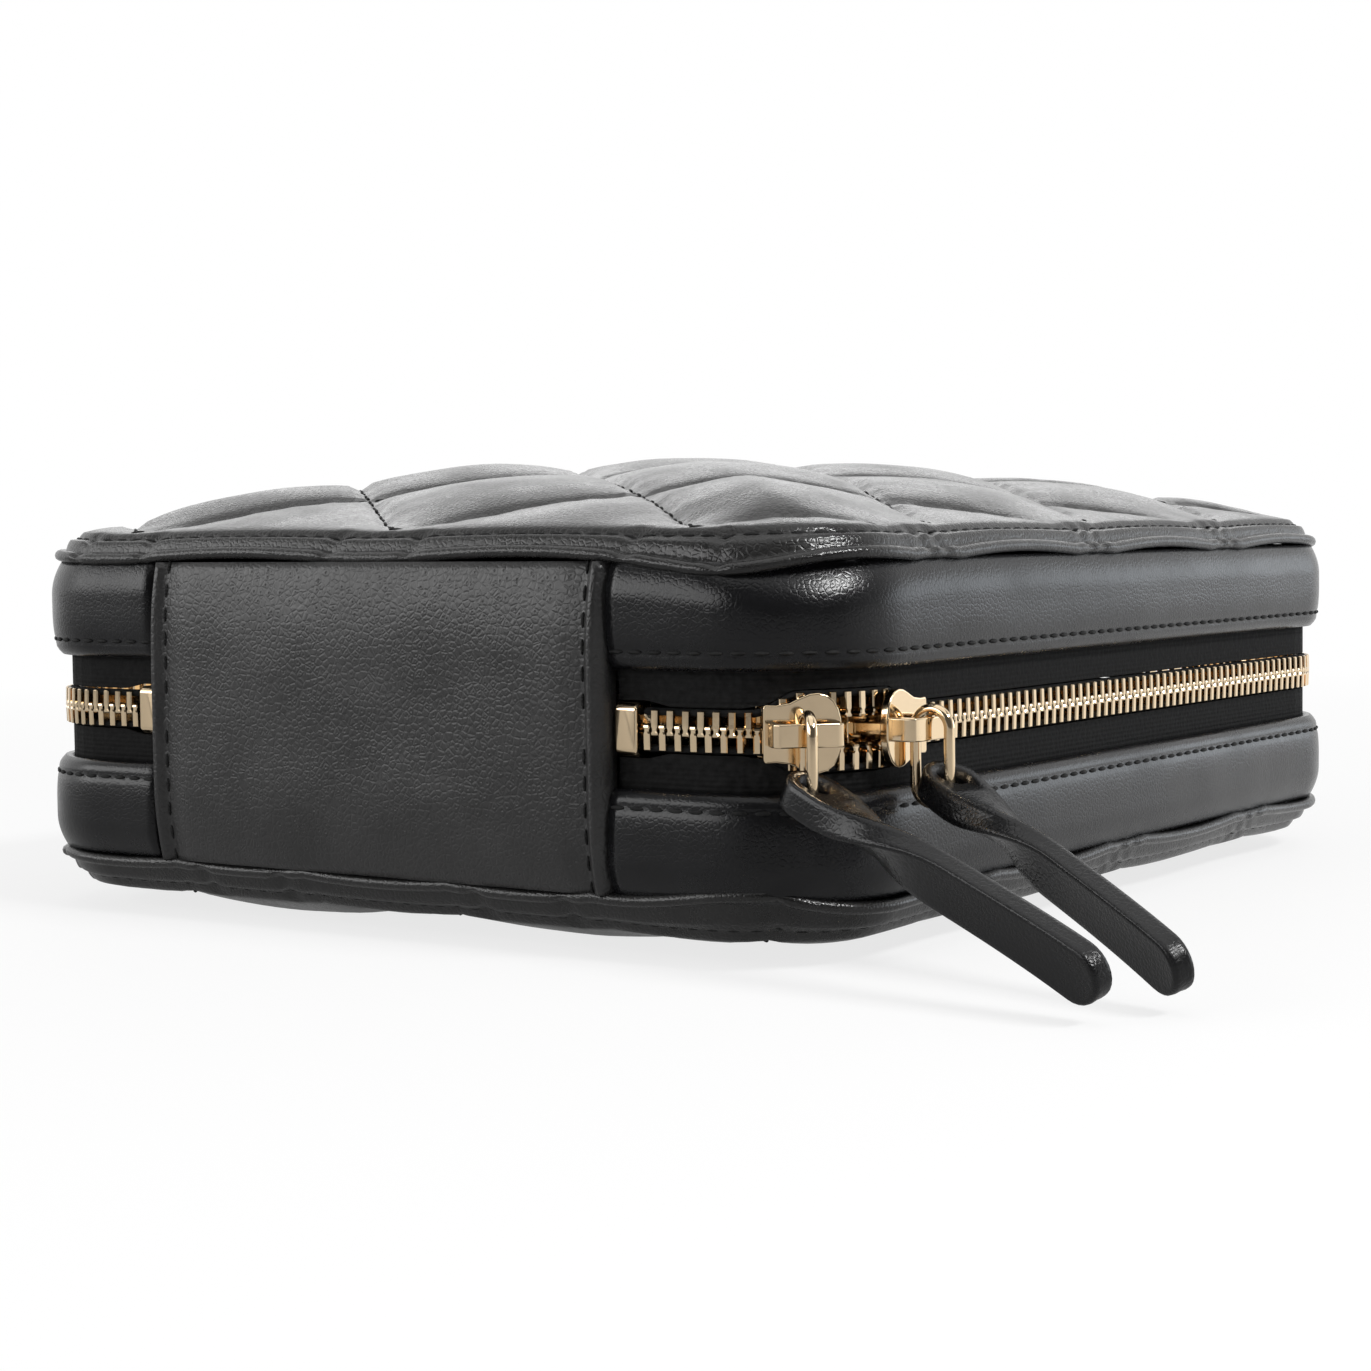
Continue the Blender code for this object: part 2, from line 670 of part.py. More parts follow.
divider("tray_divider_long", (-IN_X, DIVIDER_Y - DIVIDER_T / 2, IN_Z),
        (IN_X, DIVIDER_Y + DIVIDER_T / 2, IN_Z + DIVIDER_H))
divider("tray_divider_cross", (-DIVIDER_T / 2, DIVIDER_Y + DIVIDER_T / 2 + FIT_GAP, IN_Z),
        (DIVIDER_T / 2, IN_Y, IN_Z + DIVIDER_H))


def ring_roll(name, y, half_x):
    """A stuffed roll with domed ends and a flat underside, one of a set that grips rings."""
    count = 14
    radius = ROLL_D / 2
    flat = 0.5
    ends = ((-half_x, 0.55), (-half_x + 0.8, 0.85), (-half_x + 2.6, 1.0),
            (half_x - 2.6, 1.0), (half_x - 0.8, 0.85), (half_x, 0.55))
    bm = bmesh.new()
    loops = []
    for x, size in ends:
        loop = []
        for k in range(count):
            angle = 2 * math.pi * (k + 0.5) / count
            z = max(radius * size * math.sin(angle), flat - radius)
            loop.append(bm.verts.new((x, y + radius * size * math.cos(angle), IN_Z - flat + radius + z)))
        loops.append(loop)
    for a, b in zip(loops[:-1], loops[1:]):
        for k in range(count):
            m = (k + 1) % count
            bm.faces.new((a[k], a[m], b[m], b[k]))
    bm.faces.new(loops[0])
    bm.faces.new(loops[-1])
    return finish(name, bm, LINING)


ROLL_SPACE = DIVIDER_Y - DIVIDER_T / 2 + IN_Y
ROLL_PITCH = min(ROLL_D + FIT_GAP, (ROLL_SPACE - FIT_GAP) / ROLLS)
for index in range(ROLLS):
    y_at = DIVIDER_Y - DIVIDER_T / 2 - FIT_GAP - ROLL_D / 2 - index * ROLL_PITCH
    ring_roll(f"ring_roll_{index + 1}", y_at, IN_X)


def lid_pocket():
    """A shallow pocket on the lid's inside, open along the side that faces the back panel."""
    top = LID_FLOOR - LINING_T - FIT_GAP
    wall = 1.0
    half = POCKET_X / 2
    low_y = -POCKET_Y / 2
    outer = ((-half, low_y), (half, low_y), (half, low_y + POCKET_Y), (-half, low_y + POCKET_Y))
    inner = ((-half + wall, low_y + wall), (half - wall, low_y + wall),
             (half - wall, low_y + POCKET_Y), (-half + wall, low_y + POCKET_Y))
    bm = bmesh.new()
    face = [bm.verts.new((x, y, top - POCKET_T)) for x, y in outer]
    rim = [bm.verts.new((x, y, top)) for x, y in outer]
    deep = [bm.verts.new((x, y, top - POCKET_T + wall)) for x, y in inner]
    lip = [bm.verts.new((x, y, top)) for x, y in inner]
    bm.faces.new(face)
    bm.faces.new(deep)
    for j, k in ((3, 0), (0, 1), (1, 2)):
        bm.faces.new((face[j], face[k], rim[k], rim[j]))
        bm.faces.new((deep[j], deep[k], lip[k], lip[j]))
        bm.faces.new((rim[j], rim[k], lip[k], lip[j]))
    bm.faces.new((face[2], face[3], rim[3], lip[3], deep[3], deep[2], lip[2], rim[2]))
    return finish("lid_pocket", bm, LINING, HINGE)


lid_pocket()
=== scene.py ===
# %% [markdown]
# # A quilted leather jewellery case that zips open
# The imported CAD model is the frame: it holds every size and every joint. This lesson dresses it.
# Each soft solid gets a finer leather piece in its place, the metal gets rounded edges, and
# every piece but the back panel rides on the CAD body that carries it. Lengths are worked in
# millimetres and turned into metres where a mesh is made.

# %% Load the frame
from math import asin, cos, exp, hypot, pi, radians, sin, sqrt

import bmesh
import bpy
from mathutils import Matrix, Vector
from mathutils.geometry import delaunay_2d_cdt
from mathutils.noise import noise


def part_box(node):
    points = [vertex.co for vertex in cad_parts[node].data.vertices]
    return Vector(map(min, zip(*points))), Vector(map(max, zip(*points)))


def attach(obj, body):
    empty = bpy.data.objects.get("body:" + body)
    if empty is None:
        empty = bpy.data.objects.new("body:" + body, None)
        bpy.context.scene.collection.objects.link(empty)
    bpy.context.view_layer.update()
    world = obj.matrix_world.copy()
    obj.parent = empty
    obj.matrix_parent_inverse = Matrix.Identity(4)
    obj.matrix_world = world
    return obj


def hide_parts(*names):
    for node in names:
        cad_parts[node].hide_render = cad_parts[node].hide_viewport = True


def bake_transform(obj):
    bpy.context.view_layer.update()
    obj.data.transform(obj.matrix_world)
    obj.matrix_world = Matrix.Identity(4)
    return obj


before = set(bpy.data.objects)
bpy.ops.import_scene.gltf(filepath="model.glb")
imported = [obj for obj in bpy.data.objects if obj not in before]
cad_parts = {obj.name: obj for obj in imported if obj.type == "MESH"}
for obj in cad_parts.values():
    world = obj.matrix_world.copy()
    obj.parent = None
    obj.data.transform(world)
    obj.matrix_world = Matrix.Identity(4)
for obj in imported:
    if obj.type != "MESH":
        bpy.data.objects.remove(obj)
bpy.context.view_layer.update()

MM = 0.001

# %% [markdown]
# ## Sizes of the case
# The walls are a rounded rectangle, the back panel lies on +Y, and the zip runs round the other
# three sides at mid-height. The same few sizes place every piece, so they come first.

# %% Sizes shared by the pieces
HALF_W, HALF_L, CORNER_R = 61.5, 74.0, 17.0
Z_BOTTOM, Z_ZIP, Z_TOP = 7.0, 25.0, 43.0
WINDOW_HALF = 6.4
PANEL_HALF = 34.0
CX, CY = HALF_W - CORNER_R, HALF_L - CORNER_R
ARC = pi * CORNER_R / 2
STRAIGHTS = (CX, 2 * CY, 2 * CX, 2 * CY, CX)
CENTRES = ((-CX, CY), (-CX, -CY), (CX, -CY), (CX, CY))
AROUND = sum(STRAIGHTS) + 4 * ARC
PANEL_GAP = 0.2
S_START = PANEL_HALF + PANEL_GAP
S_END = AROUND - S_START
SLIDER_A_TURN = 43.0  # degrees round the near corner
S_A = CX + CORNER_R * radians(SLIDER_A_TURN)
S_B = CX + ARC
print(f"outline {AROUND:.1f} mm, sliders at {S_A:.1f} and {S_B:.1f} mm along it")


# %% Walking round the outline
def outline(s):
    """Point on the wall's outline and its outward normal, s millimetres from the back's middle."""
    s = s % AROUND
    for k, straight in enumerate(STRAIGHTS):
        turn = radians(90 + 90 * k)
        normal = Vector((cos(turn), sin(turn)))
        if s <= straight or k == 4:
            centre = Vector(CENTRES[k - 1]) if k else Vector((0.0, CY))
            return centre + normal * CORNER_R + Vector((-normal.y, normal.x)) * s, normal
        s -= straight
        if s < ARC:
            turn += s / CORNER_R
            normal = Vector((cos(turn), sin(turn)))
            return Vector(CENTRES[k]) + normal * CORNER_R, normal
        s -= ARC


def place(s, inset, z):
    """Point at height z, inset millimetres behind the wall's outline."""
    point, normal = outline(s)
    return Vector((point.x - normal.x * inset, point.y - normal.y * inset, z))


def smooth(t):
    """0 below 0, 1 above 1, and a soft S between them."""
    t = min(max(t, 0.0), 1.0)
    return t * t * (3 - 2 * t)


def hump(t, middle, width):
    """A bell that is 1 at the middle and has mostly faded one width away."""
    return exp(-((t - middle) / width) ** 2)


def show(name, data):
    made = bpy.data.objects.new(name, data)
    bpy.context.collection.objects.link(made)
    return made


def spread(start, end, step):
    """Even places from start to end, about one step apart."""
    count = max(2, int(round((end - start) / step)) + 1)
    return [start + (end - start) * i / (count - 1) for i in range(count)]


print("slider A at", [round(v, 1) for v in place(S_A, 0.0, Z_ZIP)])


# %% [markdown]
# ## Camera and lamps
# The camera was solved from the photograph's straight seams: it stands low, just above the lid's
# seam, and looks at the corner where the sliders are. Soft boxes give each side in view its own
# long, quiet reflection: one over the near corner, one overhead, and one each for the back panel,
# the lid and the long side.

# %% Camera
PHOTO_PX, FOCAL_PX, SHIFT_PX = 1371, 2672.4, (-40.74, -1.59)
AZIMUTH, ELEVATION, ROLL = 213.86, 3.385, -0.645  # degrees
CAMERA_AWAY = 365.4  # mm from the case's middle
SENSOR = 36.0


def add_camera():
    azimuth, elevation, roll = (radians(a) for a in (AZIMUTH, ELEVATION, ROLL))
    back = Vector((sin(azimuth) * cos(elevation),
                   -cos(azimuth) * cos(elevation),
                   sin(elevation)))
    right = Vector((cos(azimuth), sin(azimuth), 0.0))
    up = back.cross(right)
    right, up = (right * cos(roll) + up * sin(roll),
                 up * cos(roll) - right * sin(roll))
    data = bpy.data.cameras.new("photo_camera")
    data.sensor_width, data.sensor_fit = SENSOR, "HORIZONTAL"
    data.lens = FOCAL_PX / PHOTO_PX * SENSOR
    data.shift_x, data.shift_y = (shift / PHOTO_PX for shift in SHIFT_PX)
    data.clip_start = 0.01
    camera = show("photo_camera", data)
    turn = Matrix((right, up, back)).transposed().to_4x4()
    stand = back * CAMERA_AWAY + Vector((0, 0, Z_ZIP))
    camera.matrix_world = Matrix.Translation(stand * MM) @ turn
    bpy.context.scene.camera = camera
    return camera


print("camera at", [round(v, 4) for v in add_camera().matrix_world.translation])


# %% Lamps
def add_lamp(name, place_at, aim, size, watts, colour=(1.0, 1.0, 1.0)):
    """A soft box that faces its aim; places and sizes in metres."""
    data = bpy.data.lights.new(name, "AREA")
    data.shape, data.size, data.size_y, data.energy = "RECTANGLE", size[0], size[1], watts
    data.color = colour
    lamp = show(name, data)
    lamp.location = place_at
    lamp.rotation_euler = (Vector(aim) - Vector(place_at)).to_track_quat("-Z", "Y").to_euler()


add_lamp("corner_softbox", (-0.66, 0.08, 0.63), (-0.05, 0.05, 0.04), (0.32, 0.12), 5.5)
add_lamp("ceiling_softbox", (-0.1, 0.2, 0.82), (0, 0, 0.03), (0.9, 0.9), 2.2)
add_lamp("panel_softbox", (0.62, 0.88, 0.42), (0, 0, 0.03), (1.3, 0.5), 5.9)
add_lamp("lid_softbox", (0.5, -0.75, 0.42), (0, 0, 0.05), (0.8, 0.3), 0.9)
add_lamp("side_softbox", (-0.7, -1.0, 0.2), (0, 0, 0.03), (0.8, 0.35), 1.4, (0.84, 0.92, 1.0))
bpy.context.scene.view_settings.view_transform = "Standard"
print("lamps:", ", ".join(bpy.data.lights.keys()))


# %% [markdown]
# ## Writing shaders as sums
# A wrapper round a shader socket lets bump heights and masks be written as ordinary sums and
# products; each operator adds one Math node.

# %% Socket arithmetic
def set_input(tree, slot, item):
    """Link a Value to a node's input, or write a plain number there."""
    if isinstance(item, Value):
        tree.links.new(item.socket, slot)
    else:
        slot.default_value = item


def operator(operation, swapped=False):
    def act(self, other):
        node = self.tree.nodes.new("ShaderNodeMath")
        node.operation = operation
        for slot, item in zip(node.inputs, (other, self) if swapped else (self, other)):
            set_input(self.tree, slot, item)
        return Value(self.tree, node.outputs[0])
    return act


class Value:
    """A shader socket that can be added, subtracted and multiplied."""
    __add__, __radd__ = operator("ADD"), operator("ADD", True)
    __sub__, __rsub__ = operator("SUBTRACT"), operator("SUBTRACT", True)
    __mul__, __rmul__ = operator("MULTIPLY"), operator("MULTIPLY", True)

    def __init__(self, tree, socket):
        self.tree, self.socket = tree, socket


# %% One material
class Finish:
    """One material: the shader's constant sockets are set here, the rest is linked."""

    def __init__(self, name, colour, roughness, **constants):
        self.material = bpy.data.materials.new(name)
        self.material.use_nodes = True
        self.tree = self.material.node_tree
        self.shader = self.tree.nodes["Principled BSDF"]
        self.shader.inputs["Base Color"].default_value = (*colour, 1.0)
        self.shader.inputs["Roughness"].default_value = roughness
        for key, item in constants.items():
            self.shader.inputs[key.replace("_", " ")].default_value = item

    def node(self, kind, output, settings=None, **inputs):
        made = self.tree.nodes.new(kind)
        for key, item in (settings or {}).items():
            setattr(made, key, item)
        for key, item in inputs.items():
            set_input(self.tree, made.inputs[key.replace("_", " ")], item)
        return Value(self.tree, made.outputs[output])

    def coords(self):
        return self.node("ShaderNodeTexCoord", "Object")

    def noise(self, scale, detail=3.0, rough=0.55):
        return self.node("ShaderNodeTexNoise", "Fac", Vector=self.coords(), Scale=scale,
                         Detail=detail, Roughness=rough)

    def cells(self, scale, feature="F1"):
        return self.node("ShaderNodeTexVoronoi", "Distance", {"feature": feature},
                         Vector=self.coords(), Scale=scale)

    def range(self, item, low, high, to_low, to_high):
        return self.node("ShaderNodeMapRange", "Result", Value=item, From_Min=low, From_Max=high,
                         To_Min=to_low, To_Max=to_high)

    def link(self, item, socket):
        self.tree.links.new(item.socket, self.shader.inputs[socket])
        return self

    def colour(self, factor, dark, light):
        mix = self.tree.nodes.new("ShaderNodeMix")
        mix.data_type = "RGBA"
        for slot, item in ((0, factor), (6, (*dark, 1.0)), (7, (*light, 1.0))):
            set_input(self.tree, mix.inputs[slot], item)
        return self.link(Value(self.tree, mix.outputs[2]), "Base Color")

    def bump(self, height, distance):
        made = self.node("ShaderNodeBump", "Normal", Height=height, Distance=distance, Strength=1.0)
        return self.link(made, "Normal")


# %% [markdown]
# ## Leather, tape, metal and lining
# Real leather shows grain as tiny closed cells with soft valleys, wider creases, and a shine that
# changes from place to place. Voronoi cells make the valleys, noise makes the rest. The back panel
# has a deeper grain and sunken pores, with painted shade darkening their pits, which stop short of
# its piping; the bands are the smoothest.

# %% Leathers
PORES_IN, PORES_OUT = 30.0, 31.5  # mm from the panel's middle, where the pores and their painted shade fade out


def leather(name, colour, light, gloss, cell, depth, crease, pores=0.0, shiny=0.5):
    """cell is grain cells per metre, depth the bump in metres, crease and pores their shares."""
    skin = Finish(name, colour, gloss, Specular_IOR_Level=shiny)
    wander = skin.noise(90.0, 4.0)
    grain = skin.range(skin.cells(cell, "DISTANCE_TO_EDGE"), 0.0, 0.22, 0.0, 1.0)
    fine = skin.noise(cell * 1.7, 2.0)
    folds = skin.noise(260.0, 5.0, 0.65)
    tone = skin.range(wander, 0.35, 0.7, 0.0, 1.0)
    shine = skin.range(wander + 0.25 * fine, 0.4, 0.9, gloss - 0.07, gloss + 0.1)
    height = grain * (0.55 + 0.6 * wander) + 0.35 * fine + crease * folds
    if pores:
        across = skin.node("ShaderNodeSeparateXYZ", "X", Vector=skin.coords())
        fade = ((edge * MM) ** 2 for edge in (PORES_IN, PORES_OUT))
        inside = skin.range(across * across, *fade, 1.0, 0.0)
        pore_pit_and_shade = 1.0 - inside * skin.range(skin.cells(cell), 0.08, 0.24, 1.0, 0.0)
        height = 0.55 * height + pores * pore_pit_and_shade
        # painted shade: the colour is darkened in the pores' pits, where shade falls; they are
        # rougher there too
        tone, shine = tone * (0.4 + 0.6 * pore_pit_and_shade), shine + 0.3 * (1.0 - pore_pit_and_shade)
    skin.colour(tone, colour, light)
    skin.link(shine, "Roughness")
    return skin.bump(height, depth).material


QUILT_LEATHER = leather(
    "quilted_black_leather", (0.007, 0.0067, 0.0066), (0.012, 0.0115, 0.0112),
    gloss=0.27, cell=1500.0, depth=0.000028, crease=0.2)
BAND_LEATHER = leather(
    "smooth_black_leather", (0.004, 0.004, 0.0045), (0.006, 0.006, 0.007),
    gloss=0.25, cell=1700.0, depth=0.000015, crease=0.0, shiny=0.36)
PANEL_LEATHER = leather(
    "pebbled_black_leather", (0.0145, 0.0142, 0.0142), (0.0215, 0.021, 0.021),
    gloss=0.34, cell=1250.0, depth=0.00006, crease=0.3, pores=0.6)
PULL_LEATHER = leather(
    "pull_black_leather", (0.003, 0.003, 0.0034), (0.005, 0.005, 0.0056),
    gloss=0.27, cell=1700.0, depth=0.00002, crease=0.2, shiny=0.4)
print("leathers made")


# %% Tape, thread, metal, lining and board
def woven(name, colour, pitch, depth, rough):
    """Ribs one pitch (in metres) apart up the cloth, under a loose fibre."""
    cloth = Finish(name, colour, rough, Specular_IOR_Level=0.15)
    turns = cloth.node("ShaderNodeSeparateXYZ", "Z", Vector=cloth.coords()) * (2 * pi / pitch)
    ribs = cloth.node("ShaderNodeMath", 0, {"operation": "SINE"}, Value=turns)
    fibre = cloth.range(cloth.noise(1300.0, 3.0), 0.3, 0.7, 0.0, 1.0)
    cloth.link(cloth.range(fibre, 0.0, 1.0, rough - 0.1, min(rough + 0.08, 1.0)), "Roughness")
    cloth.colour(fibre, tuple(0.4 * c for c in colour), tuple(2.0 * c for c in colour))
    return cloth.bump(0.5 * ribs + fibre, depth).material


def metal(name, colour, gloss):
    brass = Finish(name, colour, gloss, Metallic=1.0)
    smear = brass.noise(420.0, 4.0)
    brass.link(brass.range(smear, 0.3, 0.75, gloss - 0.03, gloss + 0.07), "Roughness")
    brass.colour(brass.noise(160.0), colour, tuple(min(1.0, c * 1.08) for c in colour))
    return brass.bump(smear, 0.00001).material


def suede(name, colour, light):
    nap = Finish(name, colour, 0.95, Sheen_Weight=0.35, Sheen_Roughness=0.5)
    brushed = nap.noise(45.0, 5.0, 0.7)
    nap.colour(nap.range(brushed, 0.3, 0.7, 0.0, 1.0), colour, light)
    return nap.bump(nap.noise(3000.0, 2.0) + 0.4 * brushed, 0.00012).material


TAPE_CLOTH = woven("black_zip_tape", (0.006, 0.006, 0.006), 0.00055, 0.00005, 0.85)
THREAD = woven("black_thread", (0.009, 0.009, 0.009), 0.0004, 0.00004, 0.6)
GOLD = metal("pale_gold_metal", (0.87, 0.68, 0.45), 0.08)
SUEDE = suede("charcoal_suede", (0.022, 0.022, 0.024), (0.04, 0.04, 0.043))
FIBRE_BOARD = suede("grey_fibre_board", (0.16, 0.15, 0.14), (0.22, 0.21, 0.2))
print("cloths and metal made")


# %% [markdown]
# ## Floor and world
# The photo's background is white, and its floor keeps a soft shadow. Its leather and metal mirror a
# dark room over and behind the camera, which a plain white world would wash out. So camera rays see
# white all round, and mirrored rays see it fade to that room, over a floor that dims the same way.

# %% Floor
FLOOR_TONE, MIRRORED_TONE = (0.86,) * 3, (0.2,) * 3
FLOOR_DROP = 0.0003  # metres under the case


def ray(tree, kind):
    """1 on rays of this kind, 0 on the others."""
    return Value(tree, tree.nodes.new("ShaderNodeLightPath").outputs[kind])


def pale_floor():
    stone = Finish("pale_floor", FLOOR_TONE, 0.75)
    tree = stone.tree
    glossy = ray(tree, "Is Glossy Ray")
    depth = stone.node("ShaderNodeSeparateXYZ", "Y", Vector=stone.coords())
    mirrored = stone.range(depth, 0.1, -0.1, 0.2, 1.0) * glossy
    seen = ray(tree, "Is Camera Ray") + ray(tree, "Is Transmission Ray")
    stone.colour(glossy, FLOOR_TONE, MIRRORED_TONE)
    away = stone.node("ShaderNodeVectorMath", "Value", {"operation": "LENGTH"},
                      Vector=stone.coords())
    white = stone.range(away, 0.12, 0.5, 0.78, 1.0) * seen + mirrored
    glow = tree.nodes.new("ShaderNodeEmission")
    mix = tree.nodes.new("ShaderNodeMixShader")
    for slot, socket in zip(mix.inputs, (white.socket, stone.shader.outputs[0], glow.outputs[0])):
        tree.links.new(socket, slot)
    tree.links.new(mix.outputs[0], tree.nodes["Material Output"].inputs["Surface"])
    mesh = bpy.data.meshes.new("floor")
    mesh.from_pydata([(-6, -6, 0), (6, -6, 0), (6, 6, 0), (-6, 6, 0)], [], [(0, 1, 2, 3)])
    mesh.materials.append(stone.material)
    floor = show("floor", mesh)
    floor.location.z = -FLOOR_DROP


pale_floor()
print("floor laid")


# %% World
ROOM_LIGHT = 0.22  # the world's strength for rays that only light things
DARK_SIDE = (-0.46, 0.68, 0.57)


def pale_world():
    world = bpy.data.worlds.new("studio")
    bpy.context.scene.world = world
    world.use_nodes = True
    tree = world.node_tree
    camera_ray = ray(tree, "Is Camera Ray")
    mirrored = ray(tree, "Is Glossy Ray") + ray(tree, "Is Transmission Ray")
    facing = tree.nodes.new("ShaderNodeVectorMath")
    facing.operation = "DOT_PRODUCT"
    tree.links.new(tree.nodes.new("ShaderNodeTexCoord").outputs["Generated"], facing.inputs[0])
    facing.inputs[1].default_value = DARK_SIDE
    room = tree.nodes.new("ShaderNodeMapRange")
    room.interpolation_type = "SMOOTHSTEP"
    tree.links.new(facing.outputs["Value"], room.inputs["Value"])
    for key, item in (("From Min", -0.2), ("From Max", 0.8), ("To Min", 1.0), ("To Max", 0.08)):
        room.inputs[key].default_value = item
    sky = tree.nodes["Background"]
    sky.inputs["Color"].default_value = (1.0, 1.0, 1.0, 1.0)
    shown = camera_ray + mirrored * Value(tree, room.outputs["Result"])
    lit = ROOM_LIGHT * (1.0 - camera_ray - mirrored) + shown
    tree.links.new(lit.socket, sky.inputs["Strength"])


pale_world()
print("world set")


# %% [markdown]
# ## Meshes from rows of points
# Most pieces are rows of points joined by quads: a section carried round the outline, a roll, a
# strip. One helper joins the rows and another puts the mesh on its body.

# %% Helpers for meshes
def to_mesh(name, bm):
    """Outward faces, and millimetres to metres."""
    bmesh.ops.recalc_face_normals(bm, faces=bm.faces)
    for vert in bm.verts:
        vert.co *= MM
    mesh = bpy.data.meshes.new(name)
    bm.to_mesh(mesh)
    bm.free()
    return mesh


def seat(name, mesh, body, replaces=()):
    """Show a mesh as a piece on a CAD body, in place of the nodes it replaces."""
    piece = show(name, mesh)
    if body:
        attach(piece, body)
    if replaces:
        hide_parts(*replaces)
    print(f"{name}: {len(mesh.polygons)} faces")
    return piece


def add_piece(name, bm, finish, body, replaces=()):
    """A smooth piece with one finish, from a mesh worked in millimetres."""
    bmesh.ops.remove_doubles(bm, verts=bm.verts, dist=0.0005)
    for face in bm.faces:
        face.smooth = True
    mesh = to_mesh(name, bm)
    mesh.materials.append(finish)
    return seat(name, mesh, body, replaces)


def circle(count):
    """Cosine and sine at even steps round a circle."""
    return [(cos(a), sin(a)) for a in (2 * pi * k / count for k in range(count))]


def loft(bm, rows, closed=True, caps=True, ring=False):
    """Join rows with quads; closed joins each row's ends, ring the last row to the first."""
    made = [[bm.verts.new(point) for point in row] for row in rows]
    pairs = list(zip(made[:-1], made[1:])) + ([(made[-1], made[0])] if ring else [])
    for a, b in pairs:
        for i in range(len(a) if closed else len(a) - 1):
            j = (i + 1) % len(a)
            bm.faces.new((a[i], a[j], b[j], b[i]))
    if caps and not ring:
        bm.faces.new(made[0])
        bm.faces.new(made[-1])
    return made


def lofted(rows, ring=False):
    bm = bmesh.new()
    loft(bm, rows, ring=ring)
    return bm


# %% [markdown]
# ## Quilted covers
# A cover is foam under leather, sewn down along two sets of diagonals, with its edge turned in to
# make a rolled rim. Cloth simulation rounds such pillows but loses the crisp sewn lines, so the
# height is written as a rule: a dome, pillows that sink to nothing at the sewn lines, small puckers
# beside the thread, and a rim that dips where a sewn line crosses it.

# %% Height of a quilted cover
QUILT_X, QUILT_Y = 42.0, 39.0
LINE_GAP = QUILT_X * QUILT_Y / hypot(QUILT_X, QUILT_Y)
RIM_T = 2.0
PUCKER_GAP, PUCKER_REACH = 4.6, 2.6


def depth_inside(x, y):
    """Millimetres inward from the wall's outline."""
    dx, dy = abs(x) - CX, abs(y) - CY
    if dx > 0 and dy > 0:
        return CORNER_R - hypot(dx, dy)
    return CORNER_R - max(dx, dy)


def quilt_lines(x, y, shift):
    """Two counts across the two sets of diagonals, whole on a sewn line."""
    return x / QUILT_X + (y - shift) / QUILT_Y, x / QUILT_X - (y - shift) / QUILT_Y


def puff_at(x, y, shift, power=0.44):
    """0 on a sewn line, 1 in the middle of a pillow."""
    p, q = quilt_lines(x, y, shift)
    return (abs(sin(pi * p)) * abs(sin(pi * q))) ** power


def line_distance(x, y, shift):
    """Millimetres to the nearest sewn line."""
    return min(abs(c - round(c)) for c in quilt_lines(x, y, shift)) * LINE_GAP


def puckers(x, y, shift):
    """Little creases that run away from a sewn line, where the thread gathers the leather."""
    p, q = quilt_lines(x, y, shift)
    total = 0.0
    for across, along in ((p, q), (q, p)):
        away = abs(across - round(across)) * LINE_GAP
        run = along * LINE_GAP
        phase = run * 2 * pi / PUCKER_GAP + 2.5 * noise((run / 9, across, shift))
        total += exp(-away / PUCKER_REACH) * sin(phase)
    return total


def cover_height(x, y, dome, reach, rise, pillow, shift, cut):
    """Height over the seam: a dome less what the sewn lines sink, and some softness."""
    depth = depth_inside(x, y)
    crown = RIM_T + (dome - RIM_T) * (1 - (1 - min(max(depth, 0) / reach, 1.0)) ** 2) ** rise
    sunk = pillow * (1 - puff_at(x, y, shift)) * smooth((depth - 1.0) / 12.0)
    soft = (0.13 * puckers(x, y, shift) + 0.4 * noise((x / 17, y / 17, dome))
            + 0.12 * noise((x / 6, y / 6, dome)))
    height = crown - sunk + soft * smooth((depth - 2.5) / 8.0)
    return max(min(height, dome - cut), 0.6 * RIM_T)


print(f"sewn lines {LINE_GAP:.1f} mm apart")


# %% Rolled rim
BEAD_TOP = 1.5
BEAD_ROWS = ((2.0, 0.1), (1.45, 0.05), (0.98, 0.12), (0.65, 0.36), (0.53, 0.72), (0.62, 1.09),
             (0.9, 1.37), (1.25, 1.49), (1.55, 1.44))
RIDGE_INSETS = (1.75, 1.88, 2.0, 2.15, 2.3, 2.5, 2.7, 2.9, 3.1, 3.3, 3.4, 3.5, 3.6, 3.75, 4.0)
EDGE_INSET, SEAM_INSET, TOP_INSET = 0.3, 3.5, 4.2
NICK_WIDTH, NICK_DEPTH = 0.75, 0.36
DIP, DIP_WIDTH, DIP_S = 1.5, 10.0, S_A - 8.0
RIM_LOWEST = -2.2


def rim_dip(s, shift):
    """The rim sinks where a sewn line pulls it, and most at the near corner."""
    point = place(s, 4.0, 0.0)
    broad = 1 - puff_at(point.x, point.y, shift, 0.7)
    gap = abs((s - DIP_S + AROUND / 2) % AROUND - AROUND / 2)
    return 0.3 - 0.75 * broad - DIP * hump(gap, 0.0, DIP_WIDTH)


def rim_at(s, quilt):
    """The rim's dip, its nick by a sewn line, and the quilted top's edge and height there."""
    outer, inner = place(s, EDGE_INSET, 0.0), place(s, TOP_INSET, 0.0)
    nick = hump(line_distance(outer.x, outer.y, quilt["shift"]), 0.0, NICK_WIDTH)
    return rim_dip(s, quilt["shift"]), nick, inner, cover_height(inner.x, inner.y, **quilt)


def ridge_height(inset, top):
    """From the bead's top up to the cover: a groove, a thin ridge, and the sewn line's groove."""
    slope = BEAD_TOP + (top - BEAD_TOP) * (inset - 1.6) / 2.6
    ridge = 0.45 * hump(inset, 2.5, 0.36) - 0.45 * hump(inset, 1.86, 0.2)
    return slope + ridge - 0.3 * hump(inset, SEAM_INSET, 0.2)


